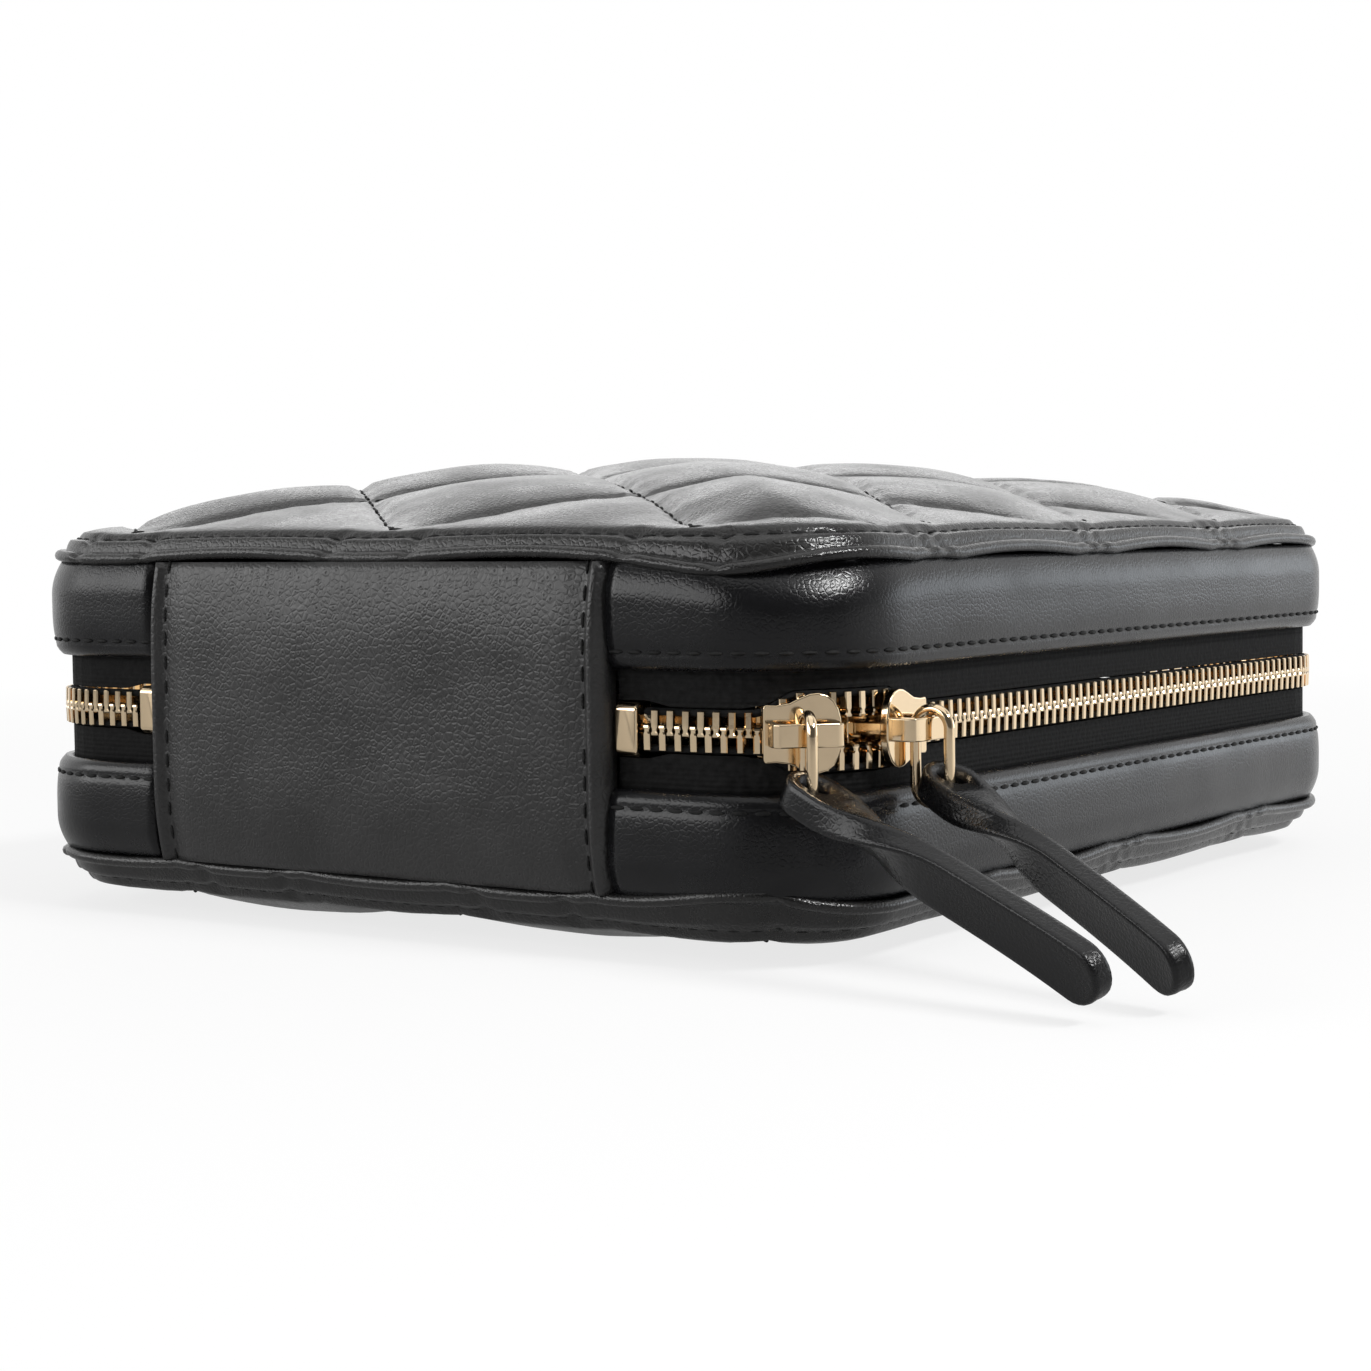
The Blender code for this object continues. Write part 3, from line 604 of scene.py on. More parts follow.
def rim_rows(seam, up, around, rims):
    """Rows from under the bead, over bead and ridge, to the quilted top's edge."""
    rows = []
    for inset, z in BEAD_ROWS + tuple((inset, None) for inset in RIDGE_INSETS):
        hold = 1 - smooth((inset - 1.2) / 2.6)
        row = []
        for s, (dip, nick, _, top) in zip(around, rims):
            high = ridge_height(inset, top) if z is None else z
            high = max(high + dip * hold - NICK_DEPTH * nick * (high > 1), RIM_LOWEST)
            row.append(place(s, inset + 0.25 * nick * (inset < 1.1), seam + up * high))
        rows.append(row)
    return rows + [[Vector((p.x, p.y, seam + up * top)) for _, _, p, top in rims]]


print("rim rows:", len(BEAD_ROWS) + len(RIDGE_INSETS) + 1)


# %% Building the covers
RIM_STEPS, QUILT_STEPS = 900, 18
RIM_PLACES = [AROUND * (i + 0.5) / RIM_STEPS for i in range(RIM_STEPS + 1)]


def quilt_points(shift):
    """A grid along the sewn lines, as far as the rim."""
    points = []
    reach = int((HALF_W / QUILT_X + (HALF_L + abs(shift)) / QUILT_Y) * QUILT_STEPS) + 1
    for i in range(-reach, reach + 1):
        for j in range(-reach, reach + 1):
            x = (i + j) / QUILT_STEPS * QUILT_X / 2
            y = (i - j) / QUILT_STEPS * QUILT_Y / 2 + shift
            if depth_inside(x, y) > 5.0:
                points.append(Vector((x, y)))
    return points


def quilted_cover(name, node, body, seam, up, quilt):
    around = RIM_PLACES[:-1]
    rims = [rim_at(s, quilt) for s in around]
    bm = bmesh.new()
    made = loft(bm, rim_rows(seam, up, around, rims), caps=False)
    bm.faces.new(made[0])
    points = [Vector((p.x, p.y)) for _, _, p, _ in rims] + quilt_points(quilt["shift"])
    edges = [(i, (i + 1) % RIM_STEPS) for i in range(RIM_STEPS)]
    flat, _, faces, origins, _, _ = delaunay_2d_cdt(points, edges, [], 0, 1e-5)
    verts = []
    for p, sources in zip(flat, origins):
        if sources[0] < RIM_STEPS:
            verts.append(made[-1][sources[0]])
        else:
            high = cover_height(p.x, p.y, **quilt)
            verts.append(bm.verts.new((p.x, p.y, seam + up * high)))
    for face in faces:
        bm.faces.new([verts[i] for i in face])
    cover = add_piece(name, bm, QUILT_LEATHER, body, (node,))


LID_QUILT = dict(dome=12.6, reach=62.0, rise=0.88, pillow=2.2, shift=29.1, cut=0.0)
BASE_QUILT = dict(dome=7.5, reach=20.0, rise=0.8, pillow=2.4, shift=21.0, cut=0.5)
quilted_cover("lid_quilted_leather", "lid_quilted_cover", "lid", Z_TOP, 1, LID_QUILT)
quilted_cover("base_quilted_leather", "base_quilted_cover", "base", Z_BOTTOM, -1, BASE_QUILT)


# %% [markdown]
# ## Bands above and below the zip
# Each band is a strip of smooth leather pulled over a stiff edge: bulged in the middle, rolled in
# at the zip's window, and held by a line of stitches that sinks a little groove. A fine section is
# carried round three sides, and slow noise stops it from looking machined.

# %% Bands
BAND_STEPS, BAND_SEAM_STEP = 24, 20
BAND_THICK, BAND_STRIDE = 2.2, 1.3
UPPER = (Z_TOP, Z_ZIP + WINDOW_HALF, 1)  # seam, window and side
LOWER = (Z_BOTTOM, Z_ZIP - WINDOW_HALF, -1)


def band_section(s, seam, window, side):
    """Points (inset, height) of a band's section, front first, then its flat back."""
    span = window - seam
    wave = 0.22 * noise((s / 23, side * 5.0, 1.0)) + 0.09 * noise((s / 7, side * 5.0, 4.0))
    corner = hump(s, S_A, 13.0) * (side > 0)
    tuck, reach = 1.3 + 1.3 * corner, 0.36 + 0.16 * corner
    points = []
    for i in range(BAND_STEPS + 1):
        t = i / BAND_STEPS
        bulge = (tuck * (max(0.0, reach - t) / reach) ** 2.0
                 + 0.7 * (max(0.0, t - 0.5) / 0.5) ** 2.4)
        groove = 0.16 * hump(t, 0.83, 0.025)
        lip = 0.5 * smooth((t - 0.93) / 0.07)
        inset = 0.05 + bulge + groove + lip + wave * sin(pi * t) * 0.5
        points.append((inset, seam + span * t))
    return points + [(BAND_THICK, window), (BAND_THICK, seam)]


def wall_band(name, node, body, band):
    rows = [[place(s, i, z) for i, z in band_section(s, *band)]
            for s in spread(S_START, S_END, BAND_STRIDE)]
    add_piece(name, lofted(rows), BAND_LEATHER, body, (node,))


wall_band("upper_band_leather", "lid_wall_band", "lid", UPPER)
wall_band("lower_band_leather", "base_wall_band", "base", LOWER)


# %% [markdown]
# ## Back panel
# The back is one piece of pebbled leather, turned under along its sides. It is also the hinge: the
# lid opens because this leather folds at mid-height. One mesh covers both CAD halves; it rides on
# neither body and does not bend here.

# %% Back panel
FOLD_Y = HALF_L + 0.8
PANEL_BACK = HALF_L - 2.1
PANEL_STEPS, PANEL_STRIDE = 160, 0.9
PANEL_SEAM = 2.7  # mm from the panel's side to its stitches


def panel_section(z):
    """Front of the panel from side to side at height z, with its piping, then its back."""
    loop = []
    turned = 1.3 * (max(0.0, abs(z - Z_ZIP) - 7.0) / 11.0) ** 2.2
    for i in range(PANEL_STEPS + 1):
        x = PANEL_HALF * (2 * i / PANEL_STEPS - 1)
        past = abs(x) - PANEL_HALF
        edge = max(0.0, (past + 1.6) / 1.6)
        welt = 0.5 * hump(past, -1.2, 0.7)
        groove = 0.16 * hump(past, -PANEL_SEAM, 0.35)
        groove += 0.5 * hump(past, -PANEL_SEAM, 0.9 if past > -PANEL_SEAM else 2.3)
        soft = 0.16 * noise((x / 14, z / 12, 2.0)) + 0.05 * noise((x / 4, z / 4, 7.0))
        y = FOLD_Y - 1.3 * edge ** 2.2 + welt * (1 - edge) - groove + soft - turned
        loop.append(Vector((x, y, z)))
    return loop + [Vector((side * PANEL_HALF, PANEL_BACK, z)) for side in (1, -1)]


def back_panel():
    rows = [panel_section(z) for z in spread(Z_BOTTOM + 0.05, Z_TOP - 0.05, PANEL_STRIDE)]
    panel = add_piece("back_panel_leather", lofted(rows), PANEL_LEATHER, None)
    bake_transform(panel)
    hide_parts("spine_panel_lower", "spine_panel_upper")


back_panel()


# %% [markdown]
# ## Stitches
# Thread shows as a row of short raised stitches along every seam. A Geometry Nodes tree walks a
# curve at the stitch pitch and sets one small capsule on each step, so one tree sews every seam.

# %% Stitching tree
def new_tree(name, inputs):
    """A Geometry Nodes tree that takes geometry and these inputs, with its two end nodes."""
    tree = bpy.data.node_groups.new(name, "GeometryNodeTree")
    for label, kind in (("Geometry", "Geometry"), *inputs):
        tree.interface.new_socket(label, in_out="INPUT", socket_type=f"NodeSocket{kind}")
    tree.interface.new_socket("Geometry", in_out="OUTPUT", socket_type="NodeSocketGeometry")
    return tree, tree.nodes.new("NodeGroupInput"), tree.nodes.new("NodeGroupOutput")


def wire(tree, *runs):
    """Link nodes; a run is a node, its output, the next node and its input."""
    for source, out, target, into in runs:
        tree.links.new(source.outputs[out], target.inputs[into])


def sewing_tree():
    tree, given, result = new_tree("sewn_row", (
        ("Pitch", "Float"), ("Stitch Length", "Float"), ("Thread Width", "Float"),
        ("Thread", "Material")))
    new = tree.nodes.new
    steps, size = new("GeometryNodeCurveToPoints"), new("ShaderNodeCombineXYZ")
    ball = new("GeometryNodeMeshUVSphere")
    steps.mode = "LENGTH"
    for key, item in (("Segments", 8), ("Rings", 6), ("Radius", 0.5)):
        ball.inputs[key].default_value = item
    put, real = new("GeometryNodeInstanceOnPoints"), new("GeometryNodeRealizeInstances")
    shade, paint = new("GeometryNodeSetShadeSmooth"), new("GeometryNodeSetMaterial")
    wire(tree, (given, "Geometry", steps, "Curve"), (given, "Pitch", steps, "Length"),
         (given, "Thread Width", size, "X"), (given, "Thread Width", size, "Y"),
         (given, "Stitch Length", size, "Z"), (steps, "Points", put, "Points"),
         (steps, "Rotation", put, "Rotation"), (ball, "Mesh", put, "Instance"),
         (size, 0, put, "Scale"), (put, 0, real, 0), (real, 0, shade, 0),
         (shade, 0, paint, "Geometry"), (given, "Thread", paint, "Material"),
         (paint, 0, result, "Geometry"))
    return tree


SEWING = sewing_tree()
print("stitching tree:", len(SEWING.nodes), "nodes")


# %% Sewing a seam
def grown(name, data, tree, values, body, replaces=()):
    """Run a Geometry Nodes tree on a curve or mesh and keep the result as plain mesh."""
    holder = show(name, data)
    modifier = holder.modifiers.new(tree.name, "NODES")
    modifier.node_group = tree
    for item in tree.interface.items_tree:
        if item.in_out == "INPUT" and item.name in values:
            modifier[item.identifier] = values[item.name]
    graph = bpy.context.evaluated_depsgraph_get()
    mesh = bpy.data.meshes.new_from_object(holder.evaluated_get(graph))
    bpy.data.objects.remove(holder, do_unlink=True)
    mesh.name = name
    return seat(name, mesh, body, replaces)


def sew(name, rows, body, pitch=2.5, stitch=1.75, width=0.55):
    curve = bpy.data.curves.new(name, "CURVE")
    curve.dimensions = "3D"
    for row in rows:
        spline = curve.splines.new("POLY")
        spline.points.add(len(row) - 1)
        for point, at in zip(spline.points, row):
            point.co = (at.x * MM, at.y * MM, at.z * MM, 1.0)
    values = {"Pitch": pitch * MM, "Stitch Length": stitch * MM, "Thread Width": width * MM,
              "Thread": THREAD}
    return grown(name, curve, SEWING, values, body)


# %% Seams on the covers
SEAM_STEP, SEAM_REACH, SEAM_LINES = 0.8, 170, 8
SEAM_DIP = 0.06  # the share of the rim's dip that reaches its seam


def quilt_seams(seam, up, quilt):
    """Every diagonal sewn line, from rim to rim, on the cover's surface."""
    rows = []
    for family in (1, -1):
        for count in range(-SEAM_LINES, SEAM_LINES + 1):
            row = []
            for step in range(-SEAM_REACH, SEAM_REACH + 1):
                y = step * SEAM_STEP
                x = (count - family * (y - quilt["shift"]) / QUILT_Y) * QUILT_X
                if depth_inside(x, y) > 5.5:
                    high = cover_height(x, y, **quilt) + 0.02
                    row.append(Vector((x, y, seam + up * high)))
            if len(row) > 4:
                rows.append(row)
    return rows


def rim_seam(seam, up, quilt, lift):
    """The seam behind the rim's ridge, lifted a little out of its groove."""
    row = []
    for s in RIM_PLACES:
        dip, nick, _, top = rim_at(s, quilt)
        high = ridge_height(SEAM_INSET, top) + dip * SEAM_DIP
        row.append(place(s, SEAM_INSET, seam + up * (high - NICK_DEPTH * nick + lift)))
    return [row]


def cover_seams(seam, up, quilt, lift):
    return quilt_seams(seam, up, quilt) + rim_seam(seam, up, quilt, lift)


sew("lid_quilt_stitches", cover_seams(Z_TOP, 1, LID_QUILT, 0.03), "lid", width=0.46)
sew("base_quilt_stitches", cover_seams(Z_BOTTOM, -1, BASE_QUILT, -0.17), "base")


# %% Seams on the bands and the back panel
def band_seam(band):
    row = []
    for s in spread(S_START + 1.0, S_END - 1.0, BAND_STRIDE):
        inset, z = band_section(s, *band)[BAND_SEAM_STEP]
        row.append(place(s, inset - 0.05, z))
    return [row]


def panel_seam(low, high):
    rows = []
    for side in (-1, 1):
        x = side * (PANEL_HALF - PANEL_SEAM)
        row = []
        for z in spread(low, high, PANEL_STRIDE):
            front = panel_section(z)[:PANEL_STEPS + 1]
            at = min(front, key=lambda p: abs(p.x - x))
            row.append(Vector((x, at.y + 0.02, z)))
        rows.append(row)
    return rows


sew("upper_band_stitches", band_seam(UPPER), "lid")
sew("lower_band_stitches", band_seam(LOWER), "base")
sew("panel_upper_stitches", panel_seam(Z_ZIP + 3.0, Z_TOP - 0.6), "lid",
    width=0.44)
sew("panel_lower_stitches", panel_seam(Z_BOTTOM + 0.6, Z_ZIP - 3.0), "base",
    width=0.44)


# %% [markdown]
# ## Zip chain
# Metal teeth are stamped clamps on the tape's corded edge: two legs, a neck and a head that sits
# between its neighbours. Between the sliders the rows are pushed apart. A second Geometry Nodes
# tree sets one tooth on every point of a row, turned by the directions stored on the points.

# %% One tooth
SOFT = 0.14  # how far the corners are cut
TOOTH_LEVELS = ((-2.2, 0.36, 1.05), (-2.1, 0.42, 1.15), (-0.4, 0.42, 1.2), (-0.15, 0.3, 1.2),
                (0.1, 0.3, 1.2), (0.3, 0.44, 1.2), (0.5, 0.44, 1.15), (0.62, 0.34, 1.0))
TOOTH_CORNERS = ((1, -1, SOFT, 0), (1, -1, 0, SOFT), (1, 1, 0, SOFT), (1, 1, SOFT, 0),
                 (-1, 1, SOFT, 0), (-1, 1, 0, SOFT), (-1, -1, 0, SOFT), (-1, -1, SOFT, 0))


def tooth_object():
    """One tooth: X along the chain, Y through the tape, Z towards the other row."""
    rows = []
    for z, half_x, half_y in TOOTH_LEVELS:
        rows.append([Vector((x * (half_x - cut_x), y * (half_y - cut_y), z))
                     for x, y, cut_x, cut_y in TOOTH_CORNERS])
    return bpy.data.objects.new("zip_tooth", to_mesh("zip_tooth", lofted(rows)))


TOOTH = tooth_object()
print("tooth:", len(TOOTH.data.polygons), "faces")


# %% Chain tree
def chain_tree():
    tree, given, result = new_tree("zip_row", (("Tooth", "Object"), ("Metal", "Material")))
    new = tree.nodes.new
    turns = []
    for label, axis, pivot in (("stand", "Z", "AUTO"), ("along", "X", "Z")):
        stored = new("GeometryNodeInputNamedAttribute")
        turn = new("FunctionNodeAlignRotationToVector")
        stored.data_type = "FLOAT_VECTOR"
        stored.inputs["Name"].default_value = label
        turn.axis, turn.pivot_axis = axis, pivot
        wire(tree, (stored, "Attribute", turn, "Vector"))
        turns.append(turn)
    tooth, put = new("GeometryNodeObjectInfo"), new("GeometryNodeInstanceOnPoints")
    real, paint = new("GeometryNodeRealizeInstances"), new("GeometryNodeSetMaterial")
    wire(tree, (turns[0], 0, turns[1], "Rotation"), (turns[1], 0, put, "Rotation"),
         (given, "Geometry", put, "Points"), (given, "Tooth", tooth, "Object"),
         (tooth, "Geometry", put, "Instance"), (put, 0, real, 0), (real, 0, paint, "Geometry"),
         (given, "Metal", paint, "Material"), (paint, 0, result, "Geometry"))
    return tree


CHAIN = chain_tree()
print("chain tree:", len(CHAIN.nodes), "nodes")


# %% Rows of the chain
TOOTH_PITCH, TAPE_INSET = 2.0, 2.6
SLIDER_LENGTH = 9.3
ROW_MARGIN = 4.1  # from the panel past the end stop to the first tooth


def parted(s):
    """How far each row is pushed from the zip's middle: most between the sliders."""
    half = SLIDER_LENGTH * CORNER_R / (CORNER_R - TAPE_INSET) / 2
    return 2.0 * smooth((s - S_A + half) / half) * smooth((S_B + SLIDER_LENGTH / 2 - s) / half)


def zip_row(name, node, body, way, offset):
    """way is +1 for the lower row, whose teeth stand up, and -1 for the upper row."""
    start = S_START + ROW_MARGIN + offset
    count = int((S_END - ROW_MARGIN - start) / TOOTH_PITCH) + 1
    places = [start + k * TOOTH_PITCH for k in range(count)]
    points = [place(s, TAPE_INSET + 0.05, Z_ZIP - way * parted(s)) * MM for s in places]
    mesh = bpy.data.meshes.new(name)
    mesh.from_pydata(points, [], [])
    stand = mesh.attributes.new("stand", "FLOAT_VECTOR", "POINT")
    along = mesh.attributes.new("along", "FLOAT_VECTOR", "POINT")
    for k, s in enumerate(places):
        normal = outline(s)[1]
        stand.data[k].vector = (0.0, 0.0, way)
        along.data[k].vector = (-normal.y, normal.x, 0.0)
    grown(name, mesh, CHAIN, {"Tooth": TOOTH, "Metal": GOLD}, body, (node,))


zip_row("lower_teeth_row", "lower_zip_teeth", "base", 1, 0.0)
zip_row("upper_teeth_row", "upper_zip_teeth", "lid", -1, TOOTH_PITCH / 2)
bpy.data.objects.remove(TOOTH, do_unlink=True)


# %% [markdown]
# ## Tapes and their corded edges
# The CAD tapes already have the right shape, so they keep it and take a woven finish. The cord that
# the teeth bite on is thin and round, so it is swept here as one fine tube per tape.

# %% Tapes
def dress(node, finish):
    """Give a CAD node a finish without touching its shape."""
    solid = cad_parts[node]
    if not solid.material_slots:
        solid.data.materials.append(finish)
    for slot in solid.material_slots:
        slot.material = finish


def tape_cord(name, body, way):
    rows = []
    for s in spread(S_START + 3.6, S_END - 3.6, 1.0):
        z = Z_ZIP - way * (1.95 + parted(s))
        rows.append([place(s, TAPE_INSET + 0.75 * c, z + 0.42 * d) for c, d in circle(8)])
    add_piece(name, lofted(rows), TAPE_CLOTH, body)


for tape_node in ("lower_zip_tape", "upper_zip_tape"):
    dress(tape_node, TAPE_CLOTH)
tape_cord("lower_tape_cord", "base", 1)
tape_cord("upper_tape_cord", "lid", -1)


# %% [markdown]
# ## End stops and wire loops
# Metal has small rounded edges that catch the light. A copy of each end stop's CAD solid is cleaned
# of its triangles' inner edges and bevelled; the wire loops are swept as round tubes.

# %% End stops
def round_edges(piece, width, angle):
    step = piece.modifiers.new("rounded_edges", "BEVEL")
    step.width, step.segments, step.limit_method = width * MM, 3, "ANGLE"
    step.angle_limit = radians(angle)
    step.harden_normals = True


def refined(node, name, body, finish, bevel):
    """A merged copy of a CAD node with rounded edges, in the node's place."""
    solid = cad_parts[node]
    bm = bmesh.new()
    bm.from_mesh(solid.data)
    bmesh.ops.transform(bm, matrix=solid.matrix_world, verts=bm.verts)
    bmesh.ops.remove_doubles(bm, verts=bm.verts, dist=2e-6)
    bmesh.ops.dissolve_limit(bm, angle_limit=radians(3), verts=bm.verts, edges=bm.edges)
    bmesh.ops.scale(bm, vec=(1 / MM, 1 / MM, 1 / MM), verts=bm.verts)
    round_edges(add_piece(name, bm, finish, body, (node,)), bevel, 28)


for letter in "ab":
    refined(f"zip_stop_{letter}", f"zip_end_{letter}", "base", GOLD, 0.3)


# %% Wire loops
RING_OUT, RING_R, RING_DROP, WIRE_R = 2.9, 2.05, 5.95, 0.6


def slider_axes(s, head):
    """Point on the wall at the chain's height, direction towards the slider's head, and outward."""
    point, normal = outline(s)
    along = Vector((-normal.y, normal.x, 0.0)) * head
    return Vector((point.x, point.y, Z_ZIP)), along, Vector((normal.x, normal.y, 0.0))


def wire_loop(letter, s, head):
    point, along, out = slider_axes(s, head)
    up = Vector((0.0, 0.0, 1.0))
    path = []
    for start, drop in ((0.0, 0.0), (pi, RING_DROP)):
        for i in range(21):
            angle = start + pi * i / 20
            away = out * cos(angle) + up * sin(angle)
            path.append((point + out * RING_OUT - up * drop + away * RING_R, away))
    rows = [[middle + (away * c + along * d) * WIRE_R for c, d in circle(16)]
            for middle, away in path]
    add_piece(f"slider_{letter}_loop", lofted(rows, ring=True), GOLD, f"ring_{letter}",
              (f"slider_{letter}_ring",))


wire_loop("a", S_A, 1)
wire_loop("b", S_B, -1)


# %% [markdown]
# ## Sliders
# A slider is cast: a front and a back plate with a narrow tail and a wide, rounded head, a post
# between the rows, and a bent strap on the front that carries the loop. Each part is extruded from
# its own outline, and a bevel rounds the edges.

# %% Slider castings
PLATE_FRONT, PLATE_BACK, PLATE_T = 0.1, 5.0, 1.0  # depths behind the wall
HALF_PLATE = ((-4.15, 2.75), (-3.95, 3.05), (-2.8, 3.0), (-1.4, 3.2), (-0.2, 3.75), (0.8, 4.12),
              (1.7, 4.2), (2.6, 3.95), (3.3, 3.4), (3.8, 2.5), (4.1, 1.4), (4.15, 0.5))
PLATE = HALF_PLATE + tuple((a, -z) for a, z in reversed(HALF_PLATE))
POST = ((1.95, -0.7), (3.55, -0.7), (3.55, 0.7), (1.95, 0.7))
STRAP = ((-3.8, -0.3), (-3.8, 2.2), (-3.55, 2.9), (-3.0, 3.3), (2.9, 3.3), (3.7, 2.95),
         (3.95, 2.2), (3.95, -0.3), (2.95, -0.3), (2.95, 1.9), (2.55, 2.45), (-2.35, 2.45),
         (-2.8, 1.9), (-2.8, -0.3))  # (along, out) round the arch, seen from the side
STRAP_HALF = 1.25


def extruded(bm, shape, to_point, low, high):
    """A closed prism: shape's pairs at two depths, placed by to_point(first, depth, second)."""
    loft(bm, [[to_point(a, depth, z) for a, z in shape] for depth in (low, high)])


def slider_casting(letter, s, head):
    point, along, out = slider_axes(s, head)

    def put(a, depth, z):
        return point + along * a - out * depth + Vector((0.0, 0.0, z))

    bm = bmesh.new()
    extruded(bm, PLATE, put, PLATE_FRONT, PLATE_FRONT + PLATE_T)
    extruded(bm, PLATE, put, PLATE_BACK, PLATE_BACK + PLATE_T)
    extruded(bm, POST, put, PLATE_FRONT + 0.3, PLATE_BACK + 0.3)
    extruded(bm, STRAP, lambda a, width, o: put(a, -o, width), -STRAP_HALF, STRAP_HALF)
    casting = add_piece(f"slider_{letter}_metal", bm, GOLD, f"slider_{letter}",
                        (f"slider_{letter}_body",))
    round_edges(casting, 0.22, 32)


slider_casting("a", S_A, 1)
slider_casting("b", S_B, -1)


# %% [markdown]
# ## Leather pulls
# Each pull is two layers of leather glued together and cut out with rounded ends, its edge sealed
# and slightly bulged, with a punched hole for the loop. Rows of points from the lower face, round
# the edge and over the upper face make it. Past the hole it twists until it lies on its edge, and
# it gets a little thinner, both as the photo shows.

# %% Outline of a pull
PULL_LENGTH, PULL_W, PULL_T, HOLE_R = 43.0, 6.5, 3.3, 1.9
PULL_REACH = PULL_LENGTH - PULL_W
PULL_CLEAR = 0.25
PULL_ROWS = ((0.75, -0.47), (0.3, -0.5), (0.06, -0.42), (0.0, -0.25), (0.05, 0.0), (0.0, 0.25),
             (0.06, 0.42), (0.3, 0.5), (0.75, 0.47))  # inset, and height as a share of PULL_T
HOLE_STEPS = 24


def pull_frame(s, yaw):
    """The hole's place on its loop, and the turn that lays the pull's tip on the floor."""
    point, normal = outline(s)
    out = Vector((normal.x, normal.y, 0.0))
    hole = (Vector((point.x, point.y, Z_ZIP)) + out * (RING_OUT + RING_R)
            - Vector((0, 0, RING_DROP + 0.15 * RING_R)))
    slope = asin((hole.z - PULL_T / 2 - PULL_CLEAR) / (PULL_LENGTH - PULL_W / 2))
    return hole, Matrix.Rotation(radians(yaw), 3, "Z") @ Matrix.Rotation(slope, 3, "Y")


def pull_outline(inset, steps=14):
    """A long rounded shape round the hole at 0 and the tip, a little narrower in the middle."""
    radius = PULL_W / 2 - inset

    def end(middle, start):
        turns = (radians(start + 180 * i / steps) for i in range(steps + 1))
        return [(middle + radius * cos(a), radius * sin(a)) for a in turns]

    def edge(side, counts):
        return [(PULL_REACH * i / 20, side * radius * (1 - 0.07 * sin(pi * i / 20)))
                for i in counts]

    return end(0.0, 90) + edge(-1, range(1, 20)) + end(PULL_REACH, -90) + edge(1, range(19, 0, -1))


print("points round a pull:", len(pull_outline(0.0)))


# %% Pulls
TWIST, TWIST_FROM, TWIST_OVER = -72.0, 2.0, 17.0
PULL_LIFT, PULL_NARROWER, PULL_THINNER = 1.65, 0.06, 0.26


def leather_pull(letter, s, yaw):
    hole, turn = pull_frame(s, yaw)

    def put(a, b, z):
        turned = smooth((a - TWIST_FROM) / TWIST_OVER)
        lift = PULL_LIFT * smooth(a / PULL_REACH)
        twist = radians(TWIST) * turned
        b, z = b * (1 - PULL_NARROWER * turned), z * (1 - PULL_THINNER * turned)
        across = b * cos(twist) - z * sin(twist)
        high = b * sin(twist) + z * cos(twist)
        return hole + turn @ Vector((a, across, high + lift))

    bm = bmesh.new()
    made = loft(bm, [[put(a, b, z * PULL_T) for a, b in pull_outline(inset)]
                     for inset, z in PULL_ROWS], caps=False)
    hoop = [(HOLE_R * c, HOLE_R * d) for c, d in circle(HOLE_STEPS)]
    ring = loft(bm, [[put(a, b, z * PULL_T) for a, b in hoop]
                     for _, z in (PULL_ROWS[0], PULL_ROWS[-1])], caps=False)
    flat = [Vector(p) for p in pull_outline(PULL_ROWS[0][0]) + hoop]
    n = len(made[0])
    edges = [(i, (i + 1) % n) for i in range(n)]
    edges += [(n + k, n + (k + 1) % HOLE_STEPS) for k in range(HOLE_STEPS)]
    _, _, faces, origins, _, _ = delaunay_2d_cdt(flat, edges, [], 1, 1e-6)
    for row, hoop_row in ((made[0], ring[0]), (made[-1], ring[1])):
        corners = row + hoop_row
        for face in faces:
            ids = [origins[i][0] for i in face]
            if any(i < n for i in ids):
                bm.faces.new([corners[i] for i in ids])
    add_piece(f"pull_{letter}_leather", bm, PULL_LEATHER, f"pull_{letter}",
              (f"slider_{letter}_pull",))


leather_pull("a", S_A, 169.0)
leather_pull("b", S_B, 156.0)


# %% [markdown]
# ## Inside the case
# The tray and the lid's lining are suede over board and keep their CAD shape. The ring rolls are
# stuffed tubes with gathered ends, and the pocket is a loose panel with a gathered, elastic mouth.

# %% Lining, boards and dividers
for lined in ("base_lining_tray", "lid_lining"):
    dress(lined, SUEDE)
for stiff in ("base_board", "lid_board"):
    dress(stiff, FIBRE_BOARD)
for strip in ("tray_divider_long", "tray_divider_cross"):
    refined(strip, f"{strip}_suede", "base", SUEDE, 0.5)


# %% Ring rolls
ROLL_STEPS, ROLL_SIDES = 72, 40


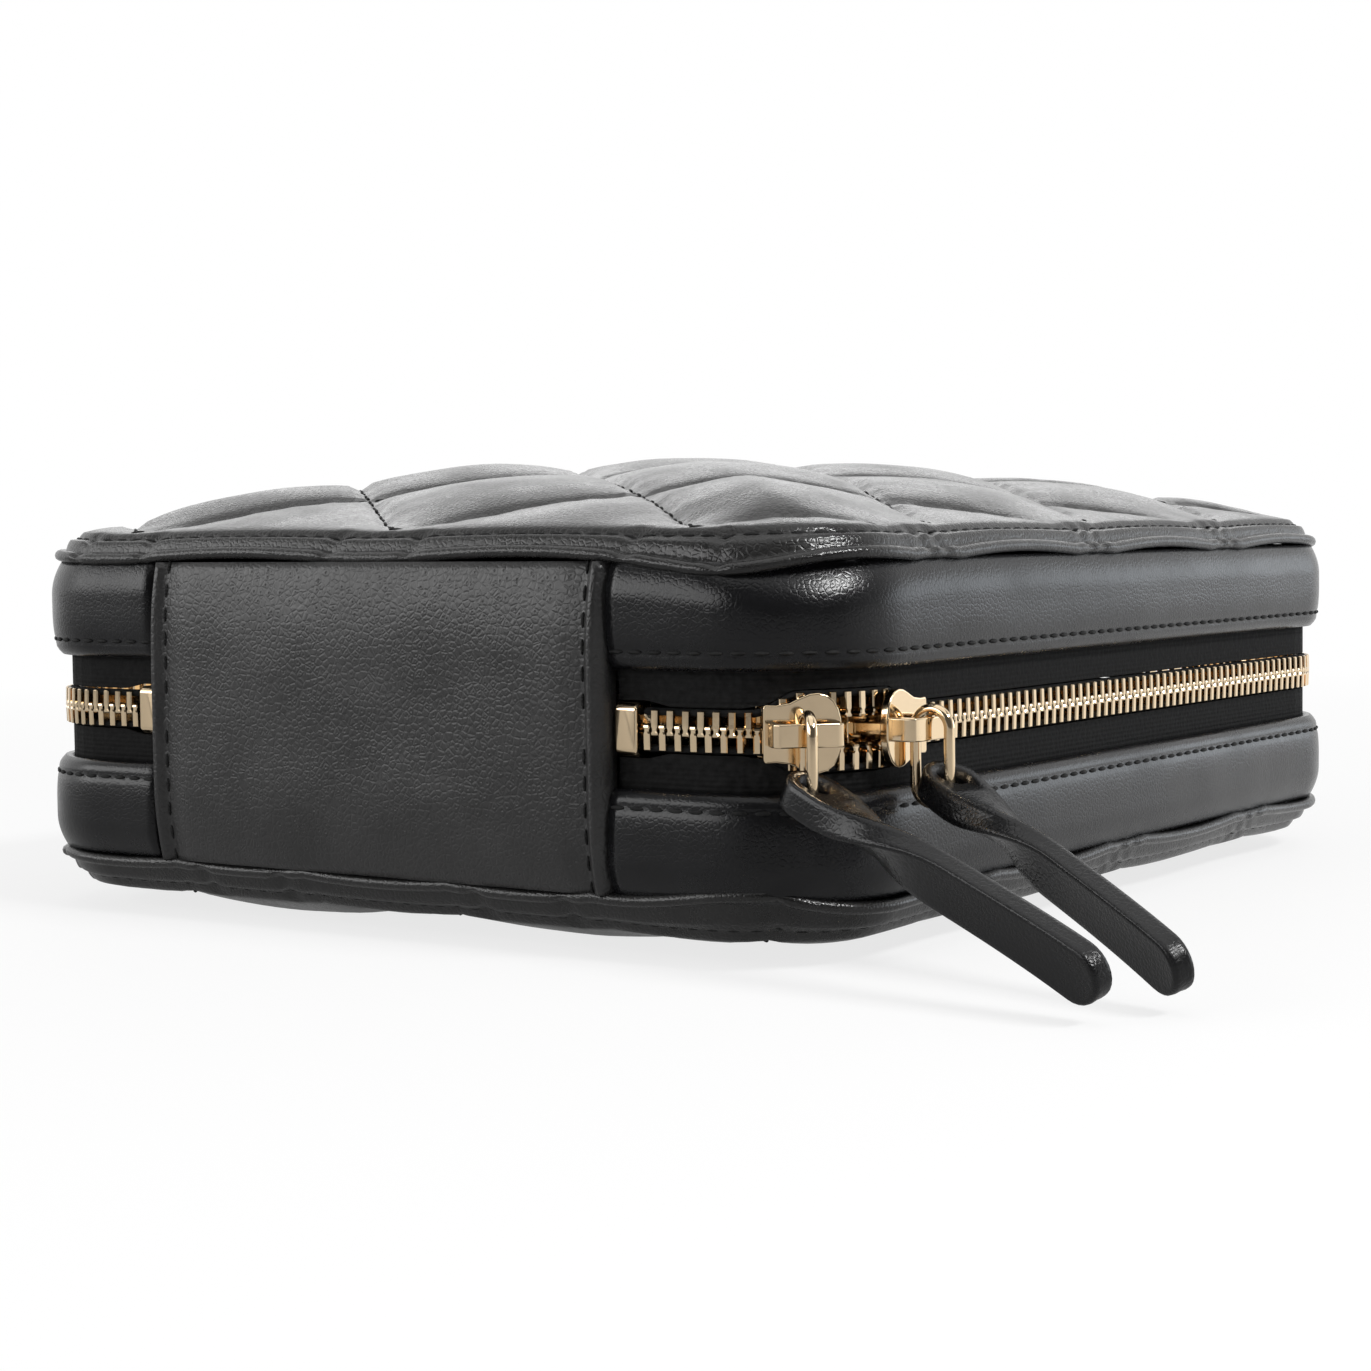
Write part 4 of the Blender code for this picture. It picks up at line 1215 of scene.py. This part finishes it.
def ring_roll(index):
    """A stuffed tube in its CAD box, with gathered ends and a flat underside."""
    low, high = (Vector(corner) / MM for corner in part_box(f"ring_roll_{index}"))
    middle_y, radius = (low.y + high.y) / 2, (high.y - low.y) / 2
    rows = []
    for i in range(ROLL_STEPS + 1):
        t = i / ROLL_STEPS
        x = low.x + (high.x - low.x) * t
        end = min(t, 1 - t) * (high.x - low.x)
        size = 0.5 + 0.5 * sqrt(max(0.0, 1 - (1 - min(end / 4.5, 1.0)) ** 2))
        gather = 0.05 * exp(-end / 3.0)
        row = []
        for k in range(ROLL_SIDES):
            angle = 2 * pi * k / ROLL_SIDES
            swell = size * (1 + gather * sin(9 * angle) + 0.012 * noise((x / 8, angle, index)))
            z = max(radius * swell * sin(angle), -radius * 0.95)
            row.append(Vector((x, middle_y + radius * swell * cos(angle) * 0.985,
                               min(low.z + radius * 0.95 + z, high.z + 0.2))))
        rows.append(row)
    roll = add_piece(f"ring_roll_{index}_suede", lofted(rows), SUEDE, "base",
                     (f"ring_roll_{index}",))


for roll_number in range(1, 5):
    ring_roll(roll_number)


# %% Lid pocket
POCKET_WALL, POCKET_ACROSS, POCKET_ALONG = 0.9, 80, 40


def lid_pocket():
    """An outer and an inner sheet in the CAD box, joined along their borders."""
    low, high = (Vector(corner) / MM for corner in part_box("lid_pocket"))
    span_x, span_y, deep = high.x - low.x, high.y - low.y, high.z - low.z
    bm = bmesh.new()
    sides = []
    for wall in (0.0, POCKET_WALL):
        rows = []
        for j in range(POCKET_ALONG + 1):
            v = j / POCKET_ALONG
            row = []
            for i in range(POCKET_ACROSS + 1):
                u = i / POCKET_ACROSS
                x = low.x + wall + (span_x - 2 * wall) * u
                y = low.y + wall + (span_y - wall) * v
                from_edge = min(u * span_x, (1 - u) * span_x, v * span_y)
                drop = (deep - 0.1) * (1 - (1 - min(from_edge / 5.0, 1.0)) ** 3) ** 0.5
                gather = 0.35 * sin(u * span_x * 2 * pi / 3.6) * smooth((v - 0.72) / 0.28)
                belly = (0.5 * noise((x / 15, y / 15, 3.0)) + gather) * smooth(from_edge / 6.0)
                row.append(Vector((x, y, min(high.z - drop + wall + max(belly, -0.1), high.z))))
            rows.append(row)
        sides.append(loft(bm, rows, closed=False, caps=False))
    outer, inner = sides
    borders = [(outer[k], inner[k]) for k in (0, -1)]
    borders += [([row[k] for row in outer], [row[k] for row in inner]) for k in (0, -1)]
    for a, b in borders:
        for i in range(len(a) - 1):
            bm.faces.new((a[i], a[i + 1], b[i + 1], b[i]))
    add_piece("lid_pocket_suede", bm, SUEDE, "lid", ("lid_pocket",))


lid_pocket()
